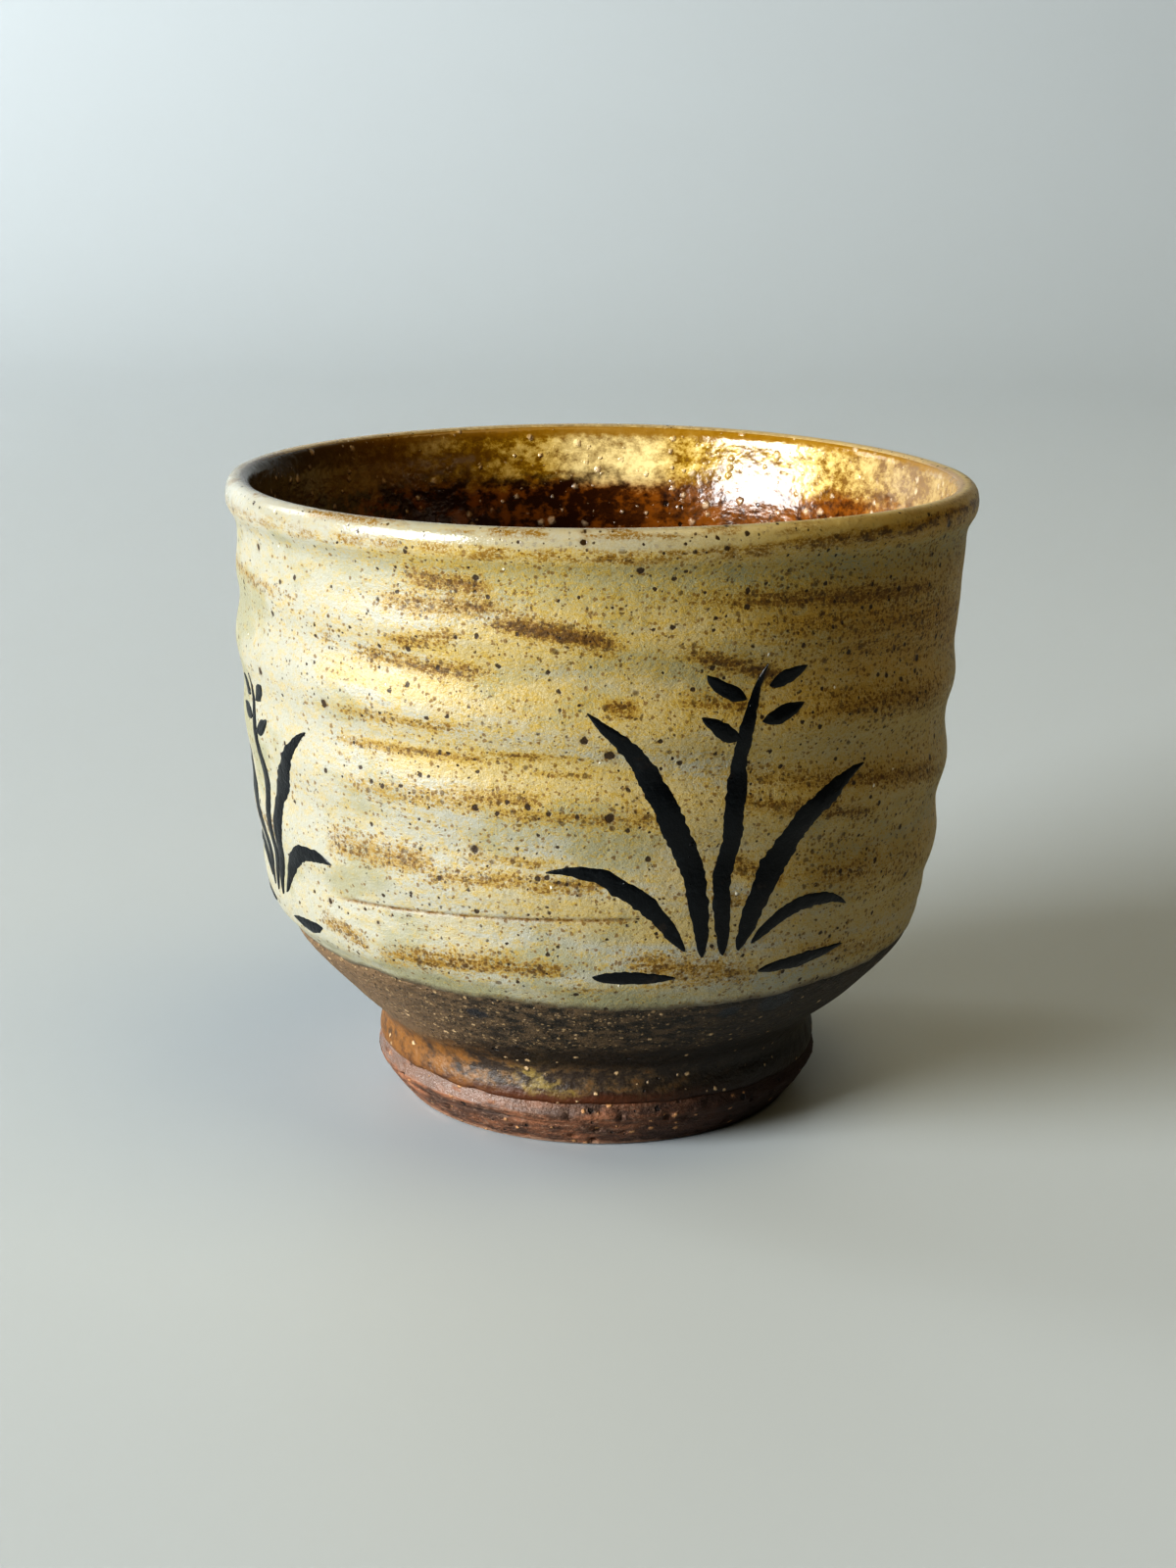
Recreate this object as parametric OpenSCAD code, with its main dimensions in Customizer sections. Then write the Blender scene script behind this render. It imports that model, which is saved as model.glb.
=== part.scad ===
// Yunomi tea cup in stoneware. A thrown bowl is luted on a turned foot, three glaze
// coats cover the clay, and clumps of reeds are brushed on in iron pigment.
// Millimetres, +Z up, origin at the centre of the face that the foot stands on.
// The camera side of the cup is -Y.

/* [Cup] */
// Height from the table to the crest of the lip
cup_h = 72; // [60:0.5:90]
// Outer radius of the lip where it is widest
lip_r = 42; // [39:0.5:48]
// How far the lip stands out from the neck below it
lip_flare = 1.2; // [0.4:0.1:2]
// Height of the rolled lip, from the neck to the crest
lip_h = 6; // [4:0.5:9]
// Height of the widest line of the lip below the crest
lip_drop = 2; // [1.2:0.1:3]
// Thickness of the lip
lip_t = 2.8; // [2.2:0.1:3.6]

/* [Bowl] */
// Radius of the wall just above the turn of the belly
shoulder_r = 38.5; // [37:0.25:41]
// Height of the top of the belly's turn
shoulder_z = 27; // [25:0.5:32]
// Radius of the belly where the two outer glazes meet
belly_r = 35.6; // [34:0.2:37]
// Height of the line where the two outer glazes meet
belly_z = 20.8; // [19:0.2:23]
// Thickness of the thrown wall, with its glaze
wall_t = 3.9; // [3:0.1:5]
// Thickness of the clay under the well, with its glaze
floor_t = 4.8; // [3.5:0.1:7]
// Rise of one throwing ring
ring_pitch = 9.2; // [6:0.1:14]
// Depth of a throwing ring from the mean wall
ring_depth = 0.22; // [0.05:0.01:0.4]

/* [Foot] */
// Height of the foot, from the table to the seam with the bowl
foot_h = 8.8; // [7.5:0.1:11]
// Radius of the glazed foot wall at the seam
foot_waist_r = 25.2; // [23.5:0.1:26]
// Radius of the outer edge that the foot stands on
foot_base_r = 23.1; // [22.2:0.1:24.6]
// Radius of the bare clay band at its upper ledge
ledge_r = 25.85; // [25.2:0.05:27]
// Height of the bare clay band
ledge_z = 4.6; // [3:0.1:5.5]
// Rise of the bevel from the ledge to the start of the glaze
ledge_bevel_h = 0.7; // [0.4:0.1:1.2]
// Width of the bevel
ledge_bevel_w = 0.45; // [0.2:0.05:0.8]
// Chamfer on both edges of the standing face
foot_chamfer = 0.6; // [0.3:0.05:1]
// Radius of the turned recess at its mouth
recess_r = 19.6; // [17:0.1:20.5]
// Depth of the recess
recess_depth = 6.2; // [4:0.1:6.8]
// How much the recess draws in towards its roof
recess_draft = 1.2; // [0.5:0.1:2]
// Radius of the small cone left by the turning tool
nub_r = 3.4; // [2:0.1:5]
// Height of that cone
nub_h = 0.8; // [0.4:0.1:1.2]

/* [Glaze] */
// Thickness of the glaze coats
glaze_t = 0.4; // [0.25:0.05:0.6]
// Thickness of the brushed pigment on the glaze
pigment_t = 0.15; // [0.1:0.05:0.3]

/* [Brushwork] */
// Width of a loaded brush stroke
brush_w = 2.7; // [1.8:0.1:3.4]
// Width of the front clump of reeds
clump_w = 36; // [26:0.5:40]
// Height of the front clump of reeds
clump_h = 31; // [22:0.5:34]
// Height of the roots of the reeds
clump_z = 27; // [25.5:0.5:30]
// Bearing of the front clump, from the camera side towards +X
front_bearing = 19; // [0:1:40]
// Bearing of the side clump
side_bearing = -66; // [-80:1:-55]
// Bearing of the back clump
back_bearing = 158; // [130:1:200]

/* [Hidden] */
$fn = 96;

// Curve steps: the foot wall, the hollow over it, the belly, the lip and the well
foot_steps = 4;
hollow_steps = 5;
belly_steps = 6;
shoulder_steps = 5;
lip_steps = 6;
inside_steps = 10;
well_side_steps = 8;
well_floor_steps = 10;
steps_per_ring = 7;

// The clay is this much thicker in the turn of the belly than in the wall
well_wall_share = 1.32;

// Levels and radii that follow from the driving sizes
neck_r = lip_r - lip_flare;
neck_z = cup_h - lip_h;
lip_z = cup_h - lip_drop;
lip_mid_r = lip_r - lip_t / 2;
inner_lip_r = lip_r - lip_t;
inner_shoulder_r = shoulder_r - wall_t;
inner_shoulder_z = shoulder_z + lip_h;
well_turn_r = belly_r - wall_t * well_wall_share;
floor_z = foot_h + floor_t;
glaze_foot_z = ledge_z + ledge_bevel_h;
glaze_foot_r = ledge_r - ledge_bevel_w;
recess_roof_r = recess_r - recess_draft;

// Where the hollow over the foot turns into the belly, as shares of the way out and up
hollow_out_share = 0.42;
hollow_up_share = 0.44;
hollow_r = foot_waist_r + (belly_r - foot_waist_r) * hollow_out_share;
hollow_z = foot_h + (belly_z - foot_h) * hollow_up_share;

// How full the curves are, as shares of the stretch that each one spans
hollow_rise_share = 0.30;
hollow_run_share = 0.36;
belly_share = 0.35;
belly_rise_share = 0.30;
shoulder_share = 0.55;
shoulder_lean_share = 0.09;
wall_low_share = 0.35;
wall_high_share = 0.55;
lip_roll_share = 0.55;
inside_rise_share = 0.12;
well_side_share = 0.45;
well_turn_share = 0.8;
well_floor_share = 0.62;
recess_round_share = 0.25;
band_low_share = 0.25;
band_high_share = 0.65;
band_swell_share = 0.15;

// Points along a cubic curve, without its first point
function bezier(a, b, c, d, t) =
    pow(1 - t, 3) * a + 3 * pow(1 - t, 2) * t * b + 3 * (1 - t) * t * t * c + pow(t, 3) * d;
function curve(a, b, c, d, steps) = [for (i = [1 : steps]) bezier(a, b, c, d, i / steps)];

// Stations of the visible surface, as [radius, height]
glaze_foot_p = [glaze_foot_r, glaze_foot_z];
seam_p = [foot_waist_r, foot_h];
hollow_p = [hollow_r, hollow_z];
belly_p = [belly_r, belly_z];
shoulder_p = [shoulder_r, shoulder_z];
neck_p = [neck_r, neck_z];
lip_p = [lip_r, lip_z];
crest_p = [lip_mid_r, cup_h];
inner_lip_p = [inner_lip_r, lip_z + lip_drop / 2];
inner_shoulder_p = [inner_shoulder_r, inner_shoulder_z];
well_turn_p = [well_turn_r, belly_z];
floor_p = [0, floor_z];

// Direction in which the belly climbs, straight from the hollow to the glaze line
belly_run = belly_p - hollow_p;

foot_wall = curve(
    glaze_foot_p,
    glaze_foot_p + [ledge_bevel_w, (foot_h - glaze_foot_z) * shoulder_share],
    seam_p - [0, (foot_h - glaze_foot_z) * belly_share],
    seam_p, foot_steps);
hollow = curve(
    seam_p,
    seam_p + [0, (hollow_z - foot_h) * hollow_rise_share],
    hollow_p - belly_run * hollow_run_share,
    hollow_p, hollow_steps);
belly = curve(
    hollow_p,
    hollow_p + belly_run * belly_share,
    belly_p - [belly_run[0] * belly_rise_share, belly_run[1] * belly_share],
    belly_p, belly_steps);
shoulder = curve(
    belly_p,
    belly_p + [belly_run[0] * belly_rise_share, belly_run[1] * belly_share],
    shoulder_p - [(shoulder_r - belly_r) * shoulder_lean_share, (shoulder_z - belly_z) * shoulder_share],
    shoulder_p, shoulder_steps);

// The wall is a long soft curve with throwing rings that fade at both its ends
wall_steps = ceil((neck_z - shoulder_z) / ring_pitch * steps_per_ring);
wall_mean = curve(
    shoulder_p,
    shoulder_p + [(neck_r - shoulder_r) * wall_high_share, (neck_z - shoulder_z) * wall_low_share],
    neck_p - [0, (neck_z - shoulder_z) * wall_high_share],
    neck_p, wall_steps);
function ring_fade(i) = sqrt(sin(180 * (i + 1) / wall_steps));
function ring_wave(z) = ring_depth * cos(360 * (z - shoulder_z) / ring_pitch);
wall = [for (i = [0 : wall_steps - 1])
    wall_mean[i] + [i < wall_steps - 1 ? ring_fade(i) * ring_wave(wall_mean[i][1]) : 0, 0]];

lip_rise = curve(
    neck_p,
    neck_p + [0, (lip_z - neck_z) * lip_roll_share],
    lip_p - [0, (lip_z - neck_z) * belly_share],
    lip_p, lip_steps);
lip_outer = curve(
    lip_p,
    lip_p + [0, lip_drop * lip_roll_share],
    crest_p + [(lip_r - lip_mid_r) * lip_roll_share, 0],
    crest_p, lip_steps);
lip_inner = curve(
    crest_p,
    crest_p - [(lip_mid_r - inner_lip_r) * lip_roll_share, 0],
    inner_lip_p + [0, lip_drop / 2 * lip_roll_share],
    inner_lip_p, lip_steps);
inside = curve(
    inner_lip_p,
    inner_lip_p - [wall_t - lip_t, (lip_z - inner_shoulder_z) * inside_rise_share],
    inner_shoulder_p + [(neck_r - shoulder_r) * belly_share, (lip_z - inner_shoulder_z) * wall_low_share],
    inner_shoulder_p, inside_steps);
well_side = curve(
    inner_shoulder_p,
    inner_shoulder_p - [0, (inner_shoulder_z - belly_z) * well_side_share],
    well_turn_p + [wall_t, wall_t] * shoulder_share,
    well_turn_p, well_side_steps);
well_floor = curve(
    well_turn_p,
    well_turn_p - [wall_t, wall_t] * well_turn_share,
    floor_p + [well_turn_r * well_floor_share, 0],
    floor_p, well_floor_steps);

// The visible surface in one line, from the start of the glaze on the foot, up the
// outside, over the lip and down to the middle of the well
skin = concat([glaze_foot_p], foot_wall, hollow, belly, shoulder, wall,
              lip_rise, lip_outer, lip_inner, inside, well_side, well_floor);
seam_i = len(foot_wall);
belly_i = seam_i + len(hollow) + len(belly);
neck_i = belly_i + len(shoulder) + len(wall);
inner_lip_i = neck_i + len(lip_rise) + len(lip_outer) + len(lip_inner);
last_i = len(skin) - 1;

// Unit normal of the surface at a point, pointing out of the clay
function run_at(i) = skin[min(i + 1, last_i)] - skin[max(i - 1, 0)];
function normal_at(i) =
    i == last_i ? [0, 1] : i == 0 ? [1, 0] : [run_at(i)[1], -run_at(i)[0]] / norm(run_at(i));
function skin_offset(first, last, gap) = [for (i = [first : last]) skin[i] + gap * normal_at(i)];
function clay_line(first, last) = skin_offset(first, last, -glaze_t);
function backwards(list) = [for (i = [len(list) - 1 : -1 : 0]) list[i]];

seam_z = clay_line(seam_i, seam_i)[0][1];
recess_z = min(recess_depth, seam_z - glaze_t);

// A coat of glaze between two points of the surface
module glaze_coat(first, last) {
    rotate_extrude() polygon(concat(skin_offset(first, last, 0), backwards(clay_line(first, last))));
}

// The thrown bowl, bare of glaze, flat where it sits on the foot
module clay_bowl() {
    color("saddlebrown") rotate_extrude() polygon(concat([[0, seam_z]], clay_line(seam_i, last_i)));
}

// The bare band climbs from the standing face to the ledge, a little rounded
base_p = [foot_base_r, foot_chamfer];
band_run = [ledge_r, ledge_z] - base_p;

// The turned foot: a disc with a hollow underside, a bare band with a ledge, and a
// slightly drawn-in wall that the glaze covers
foot_outline = concat(
    [[recess_r + foot_chamfer, 0], [foot_base_r - foot_chamfer, 0], base_p],
    curve(base_p,
          base_p + [band_run[0] * (band_low_share + band_swell_share), band_run[1] * band_low_share],
          base_p + [band_run[0] * (band_high_share + band_swell_share), band_run[1] * band_high_share],
          base_p + band_run, foot_steps),
    clay_line(0, seam_i),
    [[0, seam_z], [0, recess_z - nub_h], [nub_r, recess_z]],
    backwards(curve([recess_r, foot_chamfer],
                    [recess_r - recess_draft / 2, recess_z / 2],
                    [recess_roof_r, recess_z - recess_draft * recess_round_share],
                    [recess_roof_r - recess_draft, recess_z], foot_steps)),
    [[recess_r, foot_chamfer]]);
module foot_ring() {
    color("sienna") rotate_extrude() polygon(foot_outline);
}

// Ash glaze poured over the outside and the lip
module cream_glaze() {
    color("wheat") glaze_coat(belly_i, inner_lip_i);
}

// Iron glaze on the underside of the belly and the foot wall
module brown_glaze() {
    color("#5a3a20") glaze_coat(0, belly_i);
}

// Iron glaze that lines the inside
module amber_glaze() {
    color("#7a4a16") glaze_coat(inner_lip_i, last_i);
}

// Reeds, each row a blade: root across and up, bend across and up, tip across and
// up, all shares of the clump's width and height, and a share of the brush's width
blade_shares = [
    [-0.04, 0.00, -0.10, 0.62, -0.40, 0.86, 0.95],
    [ 0.02, 0.00, -0.02, 0.55,  0.12, 1.00, 0.80],
    [ 0.07, 0.01,  0.17, 0.52,  0.50, 0.60, 1.00],
    [-0.09, 0.03, -0.26, 0.36, -0.50, 0.30, 0.70],
    [ 0.11, 0.03,  0.30, 0.24,  0.44, 0.10, 0.65]];
// Seed heads, each row a dab beside the tall stem: its root and its tip
dab_shares = [
    [ 0.13, 0.92,  0.25, 0.98],
    [ 0.10, 0.82,  0.24, 0.86],
    [ 0.05, 0.88, -0.06, 0.98],
    [ 0.04, 0.76, -0.08, 0.84]];
dab_w_share = 0.62;
dab_bow_share = 0.11;
// Water strokes under the roots: each row its two ends
water_shares = [
    [-0.36, -0.05, -0.12, -0.08],
    [ 0.14, -0.09,  0.46, -0.05]];
water_w_share = 0.55;
blade_steps = 9;
dab_steps = 4;
// A stroke starts round and full, and ends in a point
stroke_start_share = 0.13;
stroke_fullness = 0.7;

function stroke_mid(a, b, c, t) = pow(1 - t, 2) * a + 2 * (1 - t) * t * b + t * t * c;
function stroke_run(a, b, c, t) = 2 * (1 - t) * (b - a) + 2 * t * (c - b);
function stroke_half(w, t) =
    w / 2 * pow(sin(180 * (stroke_start_share + (1 - stroke_start_share) * t)), stroke_fullness);
function stroke_side(a, b, c, w, t, side) =
    let (run = stroke_run(a, b, c, t))
    stroke_mid(a, b, c, t) + side * stroke_half(w, t) * [-run[1], run[0]] / norm(run);

// One stroke of the brush, from a through the bend b to the tip c
module stroke(a, b, c, w, steps) {
    polygon(concat(
        [for (i = [0 : steps - 1]) stroke_side(a, b, c, w, i / steps, 1)],
        [c],
        [for (i = [steps - 1 : -1 : 0]) stroke_side(a, b, c, w, i / steps, -1)]));
}

// A clump of reeds drawn flat, its root at the origin
module clump_strokes(w, h) {
    for (s = blade_shares)
        stroke([s[0] * w, s[1] * h], [s[2] * w, s[3] * h], [s[4] * w, s[5] * h],
               s[6] * brush_w, blade_steps);
    for (s = concat(dab_shares, water_shares)) {
        start = [s[0] * w, s[1] * h];
        tip = [s[2] * w, s[3] * h];
        stroke(start, (start + tip) / 2 - [0, brush_w * dab_bow_share], tip,
               (s[1] > 0 ? dab_w_share : water_w_share) * brush_w, dab_steps);
    }
}

// A clump on the cup: the strokes cut from a thin coat over the outer glaze
module reed_clump(bearing, size_share, side) {
    intersection() {
        rotate_extrude() polygon(concat(
            skin_offset(belly_i, neck_i, pigment_t), backwards(skin_offset(belly_i, neck_i, 0))));
        rotate([0, 0, bearing])
            translate([0, 0, clump_z])
                rotate([90, 0, 0])
                    linear_extrude(height = lip_r)
                        scale([side, 1, 1]) clump_strokes(clump_w * size_share, clump_h * size_share);
    }
}
side_share = 0.78;
back_share = 0.9;

module front_reeds() {
    color("#16202a") reed_clump(front_bearing, 1, 1);
}
module side_reeds() {
    color("#16202a") reed_clump(side_bearing, side_share, -1);
}
module back_reeds() {
    color("#16202a") reed_clump(back_bearing, back_share, 1);
}

clay_bowl();
foot_ring();
cream_glaze();
brown_glaze();
amber_glaze();
front_reeds();
side_reeds();
back_reeds();
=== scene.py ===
# A yunomi tea cup: stoneware thrown on the wheel, under three glazes, with brushed reeds.
# Metres, +Z up, the camera side is -Y. Sizes are written in millimetres and multiplied by MM.
import math

import bpy
import numpy as np
from mathutils import Matrix, Vector, noise


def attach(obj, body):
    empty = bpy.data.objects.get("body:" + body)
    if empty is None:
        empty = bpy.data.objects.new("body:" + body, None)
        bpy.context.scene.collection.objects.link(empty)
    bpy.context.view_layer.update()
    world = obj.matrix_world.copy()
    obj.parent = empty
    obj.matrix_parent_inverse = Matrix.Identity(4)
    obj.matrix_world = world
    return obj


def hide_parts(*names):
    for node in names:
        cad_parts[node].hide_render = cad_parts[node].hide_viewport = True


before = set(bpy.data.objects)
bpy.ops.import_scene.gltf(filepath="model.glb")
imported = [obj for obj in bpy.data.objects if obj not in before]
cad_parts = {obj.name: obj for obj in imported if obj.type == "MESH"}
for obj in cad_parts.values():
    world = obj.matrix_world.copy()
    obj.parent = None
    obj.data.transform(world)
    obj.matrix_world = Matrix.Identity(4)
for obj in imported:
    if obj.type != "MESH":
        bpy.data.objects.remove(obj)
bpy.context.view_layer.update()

MM = 0.001


# Camera
# It stands a hand above the table and looks down a little. Its angles are in radians, and the
# lens is given as a share of the picture's height, which is the sensor's long side.
CAMERA_PLACE = Vector((0, -283.3, 112.3)) * MM
CAMERA_DOWN = 0.265
CAMERA_TURN = 0.0045
CAMERA_ROLL = 0.0100
SENSOR = 36
LENS_SHARE = 2574 / 1600
NEAREST_SEEN = 10 * MM

bpy.ops.object.camera_add()
camera = bpy.context.active_object
camera.name = "camera"
camera.matrix_world = (
    Matrix.Translation(CAMERA_PLACE)
    @ Matrix.Rotation(CAMERA_TURN, 4, "Z")
    @ Matrix.Rotation(math.pi / 2 - CAMERA_DOWN, 4, "X")
    @ Matrix.Rotation(CAMERA_ROLL, 4, "Z")
)
camera.data.sensor_width = SENSOR
camera.data.lens = SENSOR * LENS_SHARE
camera.data.clip_start = NEAREST_SEEN
bpy.context.scene.camera = camera


# Clay bowl
# Thrown stoneware with a rolled lip, from the seam over the foot to the lip and down to the
# middle of the well. It was drawn up by hand, so its rings climb and its wall wanders a
# little. The glazes cover it all over.
LIP_R = 42.0
LIP_T = 2.8
LIP_DROP = 2.0
LIP_H = 6.0
CUP_H = 72.0
NECK_R = 40.8
SHOULDER_R = 38.4
SHOULDER_Z = 26.6
BELLY_R = 35.6
BELLY_Z = 20.8
HOLLOW_R = 29.57
HOLLOW_Z = 14.08
WAIST_R = 25.2
FOOT_H = 8.8
GLAZE_FOOT_R = 25.4
GLAZE_FOOT_Z = 5.3
LIP_CREST_R = 40.8
LIP_INSIDE_Z = 71.0
WELL_WALL_R = 34.6
WELL_WALL_Z = 33.0
WELL_TURN_R = 30.45
WELL_Z = 13.6
GLAZE_T = 0.4
CLAY_RED = (0.245, 0.108, 0.053)
CLAY_BROWN = (0.070, 0.034, 0.020)
CLAY_PALE = (0.31, 0.20, 0.135)
CLAY_SHADE = (0.030, 0.013, 0.008)
CLAY_FLASH_HIGHLIGHT = (0.20, 0.135, 0.105)
CLAY_GROG = (0.62, 0.34, 0.15)
CLAY_PIT = (0.010, 0.005, 0.004)
BOWL_POINTS = 150
BOWL_SIDES = 160


def bow(start, pull, push, end, steps):
    """Points of a cubic curve in the (radius, height) plane, without its first point."""
    t = (np.arange(steps) + 1)[:, None] / steps
    a, b, c, d = (np.array(p, float) for p in (start, pull, push, end))
    return (1 - t) ** 3 * a + 3 * (1 - t) ** 2 * t * b + 3 * (1 - t) * t**2 * c + t**3 * d


# The glazed surface in one line, from the foot up the outside, over the lip and into the well.
# Each bow starts where the last one ends, and has a pull at its start, a pull at its end, its
# end, and its number of points.
SURFACE_START = (GLAZE_FOOT_R, GLAZE_FOOT_Z)
SURFACE_BOWS = [
    ((25.85, 7.2), (WAIST_R, 7.6), (WAIST_R, FOOT_H), 10),
    ((WAIST_R, 10.3), (27.3, 11.7), (HOLLOW_R, HOLLOW_Z), 12),
    ((31.7, 16.4), (33.8, 18.4), (BELLY_R, BELLY_Z), 16),
    ((37.2, 22.9), (38.0, 23.6), (SHOULDER_R, SHOULDER_Z), 14),
    ((39.6, 40), (NECK_R, 47), (NECK_R, CUP_H - LIP_H), 80),
    ((NECK_R, 68.3), (LIP_R, 68.4), (LIP_R, CUP_H - LIP_DROP), 12),
    ((LIP_R, 71.1), (41.5, CUP_H), (LIP_CREST_R, CUP_H), 10),
    ((39.9, CUP_H), (39.2, 71.6), (LIP_R - LIP_T, LIP_INSIDE_Z), 9),
    ((38.1, 66.5), (35.4, 46.0), (WELL_WALL_R, WELL_WALL_Z), 56),
    ((WELL_WALL_R, 27.5), (32.6, 22.9), (WELL_TURN_R, BELLY_Z), 22),
    ((27.3, 17.7), (18.9, WELL_Z), (0, WELL_Z), 36),
]
surface = np.array([SURFACE_START])
for pull, push, end, steps in SURFACE_BOWS:
    surface = np.concatenate([surface, bow(surface[-1], pull, push, end, steps)])
top = np.argmax(surface[:, 1])
outside_line = surface[: top + 1]
inside_line = surface[top:][::-1]
reach = np.concatenate([[0], np.cumsum(np.hypot(*np.diff(surface, axis=0).T))])


def reach_at(height, side="outside"):
    """How far along the glazed surface a height lies, in millimetres."""
    if side == "outside":
        return float(np.interp(height, outside_line[:, 1], reach[: top + 1]))
    return float(np.interp(-height, -surface[top:, 1], reach[top:]))


def outer_radius(height):
    return np.interp(height, outside_line[:, 1], outside_line[:, 0])


def inner_radius(height):
    return np.interp(height, inside_line[:, 1], inside_line[:, 0], left=0)


SLOPE_STEP = 0.4
ON_AXIS = 1e-6


def surface_at(reaches):
    """Points of (radius, height) at the given reaches along the surface."""
    return np.stack([np.interp(reaches, reach, surface[:, i]) for i in (0, 1)], -1)


def line_at(reaches, depths):
    """Points at the given reaches along the surface, at one depth out from it or at many."""
    reaches = np.asarray(reaches, float)
    point = surface_at(reaches)
    run = surface_at(reaches + SLOPE_STEP) - surface_at(reaches - SLOPE_STEP)
    run = run / np.linalg.norm(run, axis=1)[:, None]
    out = np.stack([run[:, 1], -run[:, 0]], -1)
    line = point + np.asarray(depths, float).reshape(-1, 1) * out
    line[:, 0] = np.where(point[:, 0] < ON_AXIS, 0, np.maximum(line[:, 0], 0))
    return line


def ease(x, low, high):
    """0 below low and 1 above high, with a soft step between."""
    t = np.clip((x - low) / (high - low), 0, 1)
    return t * t * (3 - 2 * t)


def rise_and_fall(x, low, full, still_full, high):
    """0 outside low and high, and 1 between full and still_full, with soft steps."""
    return ease(x, low, full) * (1 - ease(x, still_full, high))


# What sets the noises apart, and what lets one vary round the cup but not with the height
SEED_STEPS = (7.31, 3.17, 5.73)
FLAT = (1, 1, 0)


def grain_noise(places, size, seed):
    """Smooth noise between about -1 and 1 at each place, with lumps of that size."""
    shift = Vector([seed * step for step in SEED_STEPS])
    return np.array([noise.noise(Vector(p) / size + shift) for p in places])


# What the hands left: each span is the heights where a mark begins, is full, is still full and
# ends, and each start the heights or radii between which it comes in
RING_PITCH = 9.2
RING_DEPTH = 0.27
RING_LOW_Z = 45.0
RING_SPAN = (25, 34, 58, 66)
RING_UNEVEN = 0.35
RING_UNEVEN_H = 7
WALL_DRIFT = 0.30
DRIFT_SPAN = (20, 34, 54, 68)
KNUCKLE_SWELL = 0.75
SWELL_SPAN = (12, 15.5, 20.5, 23)
KNUCKLE_DIP = 0.48
DIP_SPAN = (22.6, 24.5, 27, 30.5)
KNUCKLE_SOFTEN = 0.50
SOFTEN_SPAN = (20.6, 21.8, 22.4, 24)
LIP_WAVE = 0.24
WAVE_TURNS = (1.1, -0.5)
WAVE_START = (58, CUP_H)
LIP_OVAL = 0.16
OVAL_START = (20, CUP_H)
LUMP_DEPTH = 0.10
LUMP_SIZE = 9.0
LUMP_START = (9, 24)
PEEL_DEPTH = 0.030
PEEL_SIZE = 2.6
PEEL_START = (9, 14)
CALM_AXIS = (2, 12)
INNER_RING_PITCH = 10.0
INNER_RING_DEPTH = 0.12
INNER_RING_Z = 65.5
INNER_RING_TURN = math.radians(148)
INNER_RING_SPAN = (30, 40, 68.5, 71)
# Where the right side is off the even rings: height, half height and how far out
RIGHT_MARKS = [(58.5, 2.6, -0.38), (48.2, 2.4, -0.42), (33.0, 4.0, 0.24)]


def thrown(places):
    """Moves places in millimetres as the potter's hands left the clay: rings that climb
    round the wall, a knuckle that is sharper at the right, and a lip that isn't level."""
    x, y, z = places.T
    radius = np.maximum(np.hypot(x, y), ON_AXIS)
    turn = np.arctan2(x, -y)
    wall = np.maximum(outer_radius(z) - inner_radius(z), 1)
    outward = np.clip((radius - inner_radius(z)) / wall, 0, 1)
    calm = ease(radius, *CALM_AXIS)
    phase = 2 * np.pi * (z - RING_LOW_Z) / RING_PITCH + turn - np.pi / 2
    ring_depth = RING_DEPTH * (1 + RING_UNEVEN * np.sin(turn + z / RING_UNEVEN_H))
    rings = -np.cos(phase) * ring_depth * rise_and_fall(z, *RING_SPAN) * outward
    lumps = grain_noise(places, LUMP_SIZE, 1) * LUMP_DEPTH * ease(z, *LUMP_START) * outward
    peel = grain_noise(places, PEEL_SIZE, 8) * PEEL_DEPTH * ease(z, *PEEL_START) * outward
    right, left = (0.5 + 0.5 * np.sin(turn)) ** 2, (0.5 - 0.5 * np.sin(turn)) ** 2
    knuckle = right * KNUCKLE_SWELL * rise_and_fall(z, *SWELL_SPAN)
    knuckle = knuckle - right * KNUCKLE_DIP * rise_and_fall(z, *DIP_SPAN)
    knuckle = knuckle - left * KNUCKLE_SOFTEN * rise_and_fall(z, *SOFTEN_SPAN)
    for mark_z, mark_span, mark_out in RIGHT_MARKS:
        knuckle = knuckle + right * mark_out * np.exp(-(((z - mark_z) / mark_span) ** 2))
    inner_phase = 2 * np.pi * (z - INNER_RING_Z) / INNER_RING_PITCH + turn - INNER_RING_TURN
    inner_rings = INNER_RING_DEPTH * np.sin(inner_phase) * rise_and_fall(z, *INNER_RING_SPAN)
    oval = -LIP_OVAL * np.cos(2 * turn) * ease(z, *OVAL_START)
    move_out = rings + inner_rings * (1 - outward) + lumps + peel + knuckle * outward + oval * calm
    lean_x = -WALL_DRIFT * rise_and_fall(z, *DRIFT_SPAN) * calm
    lip_wave = LIP_WAVE * (np.sin(2 * turn + WAVE_TURNS[0]) + np.sin(3 * turn + WAVE_TURNS[1]) / 2)
    rise = lip_wave * ease(z, *WAVE_START)
    moved = places.copy()
    moved[:, 0] += move_out * x / radius + lean_x
    moved[:, 1] += move_out * y / radius
    moved[:, 2] += rise
    return moved


def places_of(piece):
    """The piece's vertices as rows of millimetres."""
    flat = np.empty(len(piece.data.vertices) * 3)
    piece.data.vertices.foreach_get("co", flat)
    return flat.reshape(-1, 3) / MM


def bearings_of(places):
    """How many degrees each place lies to the right of the front."""
    return np.degrees(np.arctan2(places[:, 0], -places[:, 1]))


def put_back(piece, places):
    piece.data.vertices.foreach_set("co", (places * MM).ravel())
    piece.data.update()


def paint(piece, layer, amounts):
    """Keeps a reading of each vertex for the piece's finish."""
    piece.data.attributes.new(layer, "FLOAT", "POINT").data.foreach_set("value", amounts)


# Points nearer than this become one, which closes a turned piece
SEAM_GAP = 0.002


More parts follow.
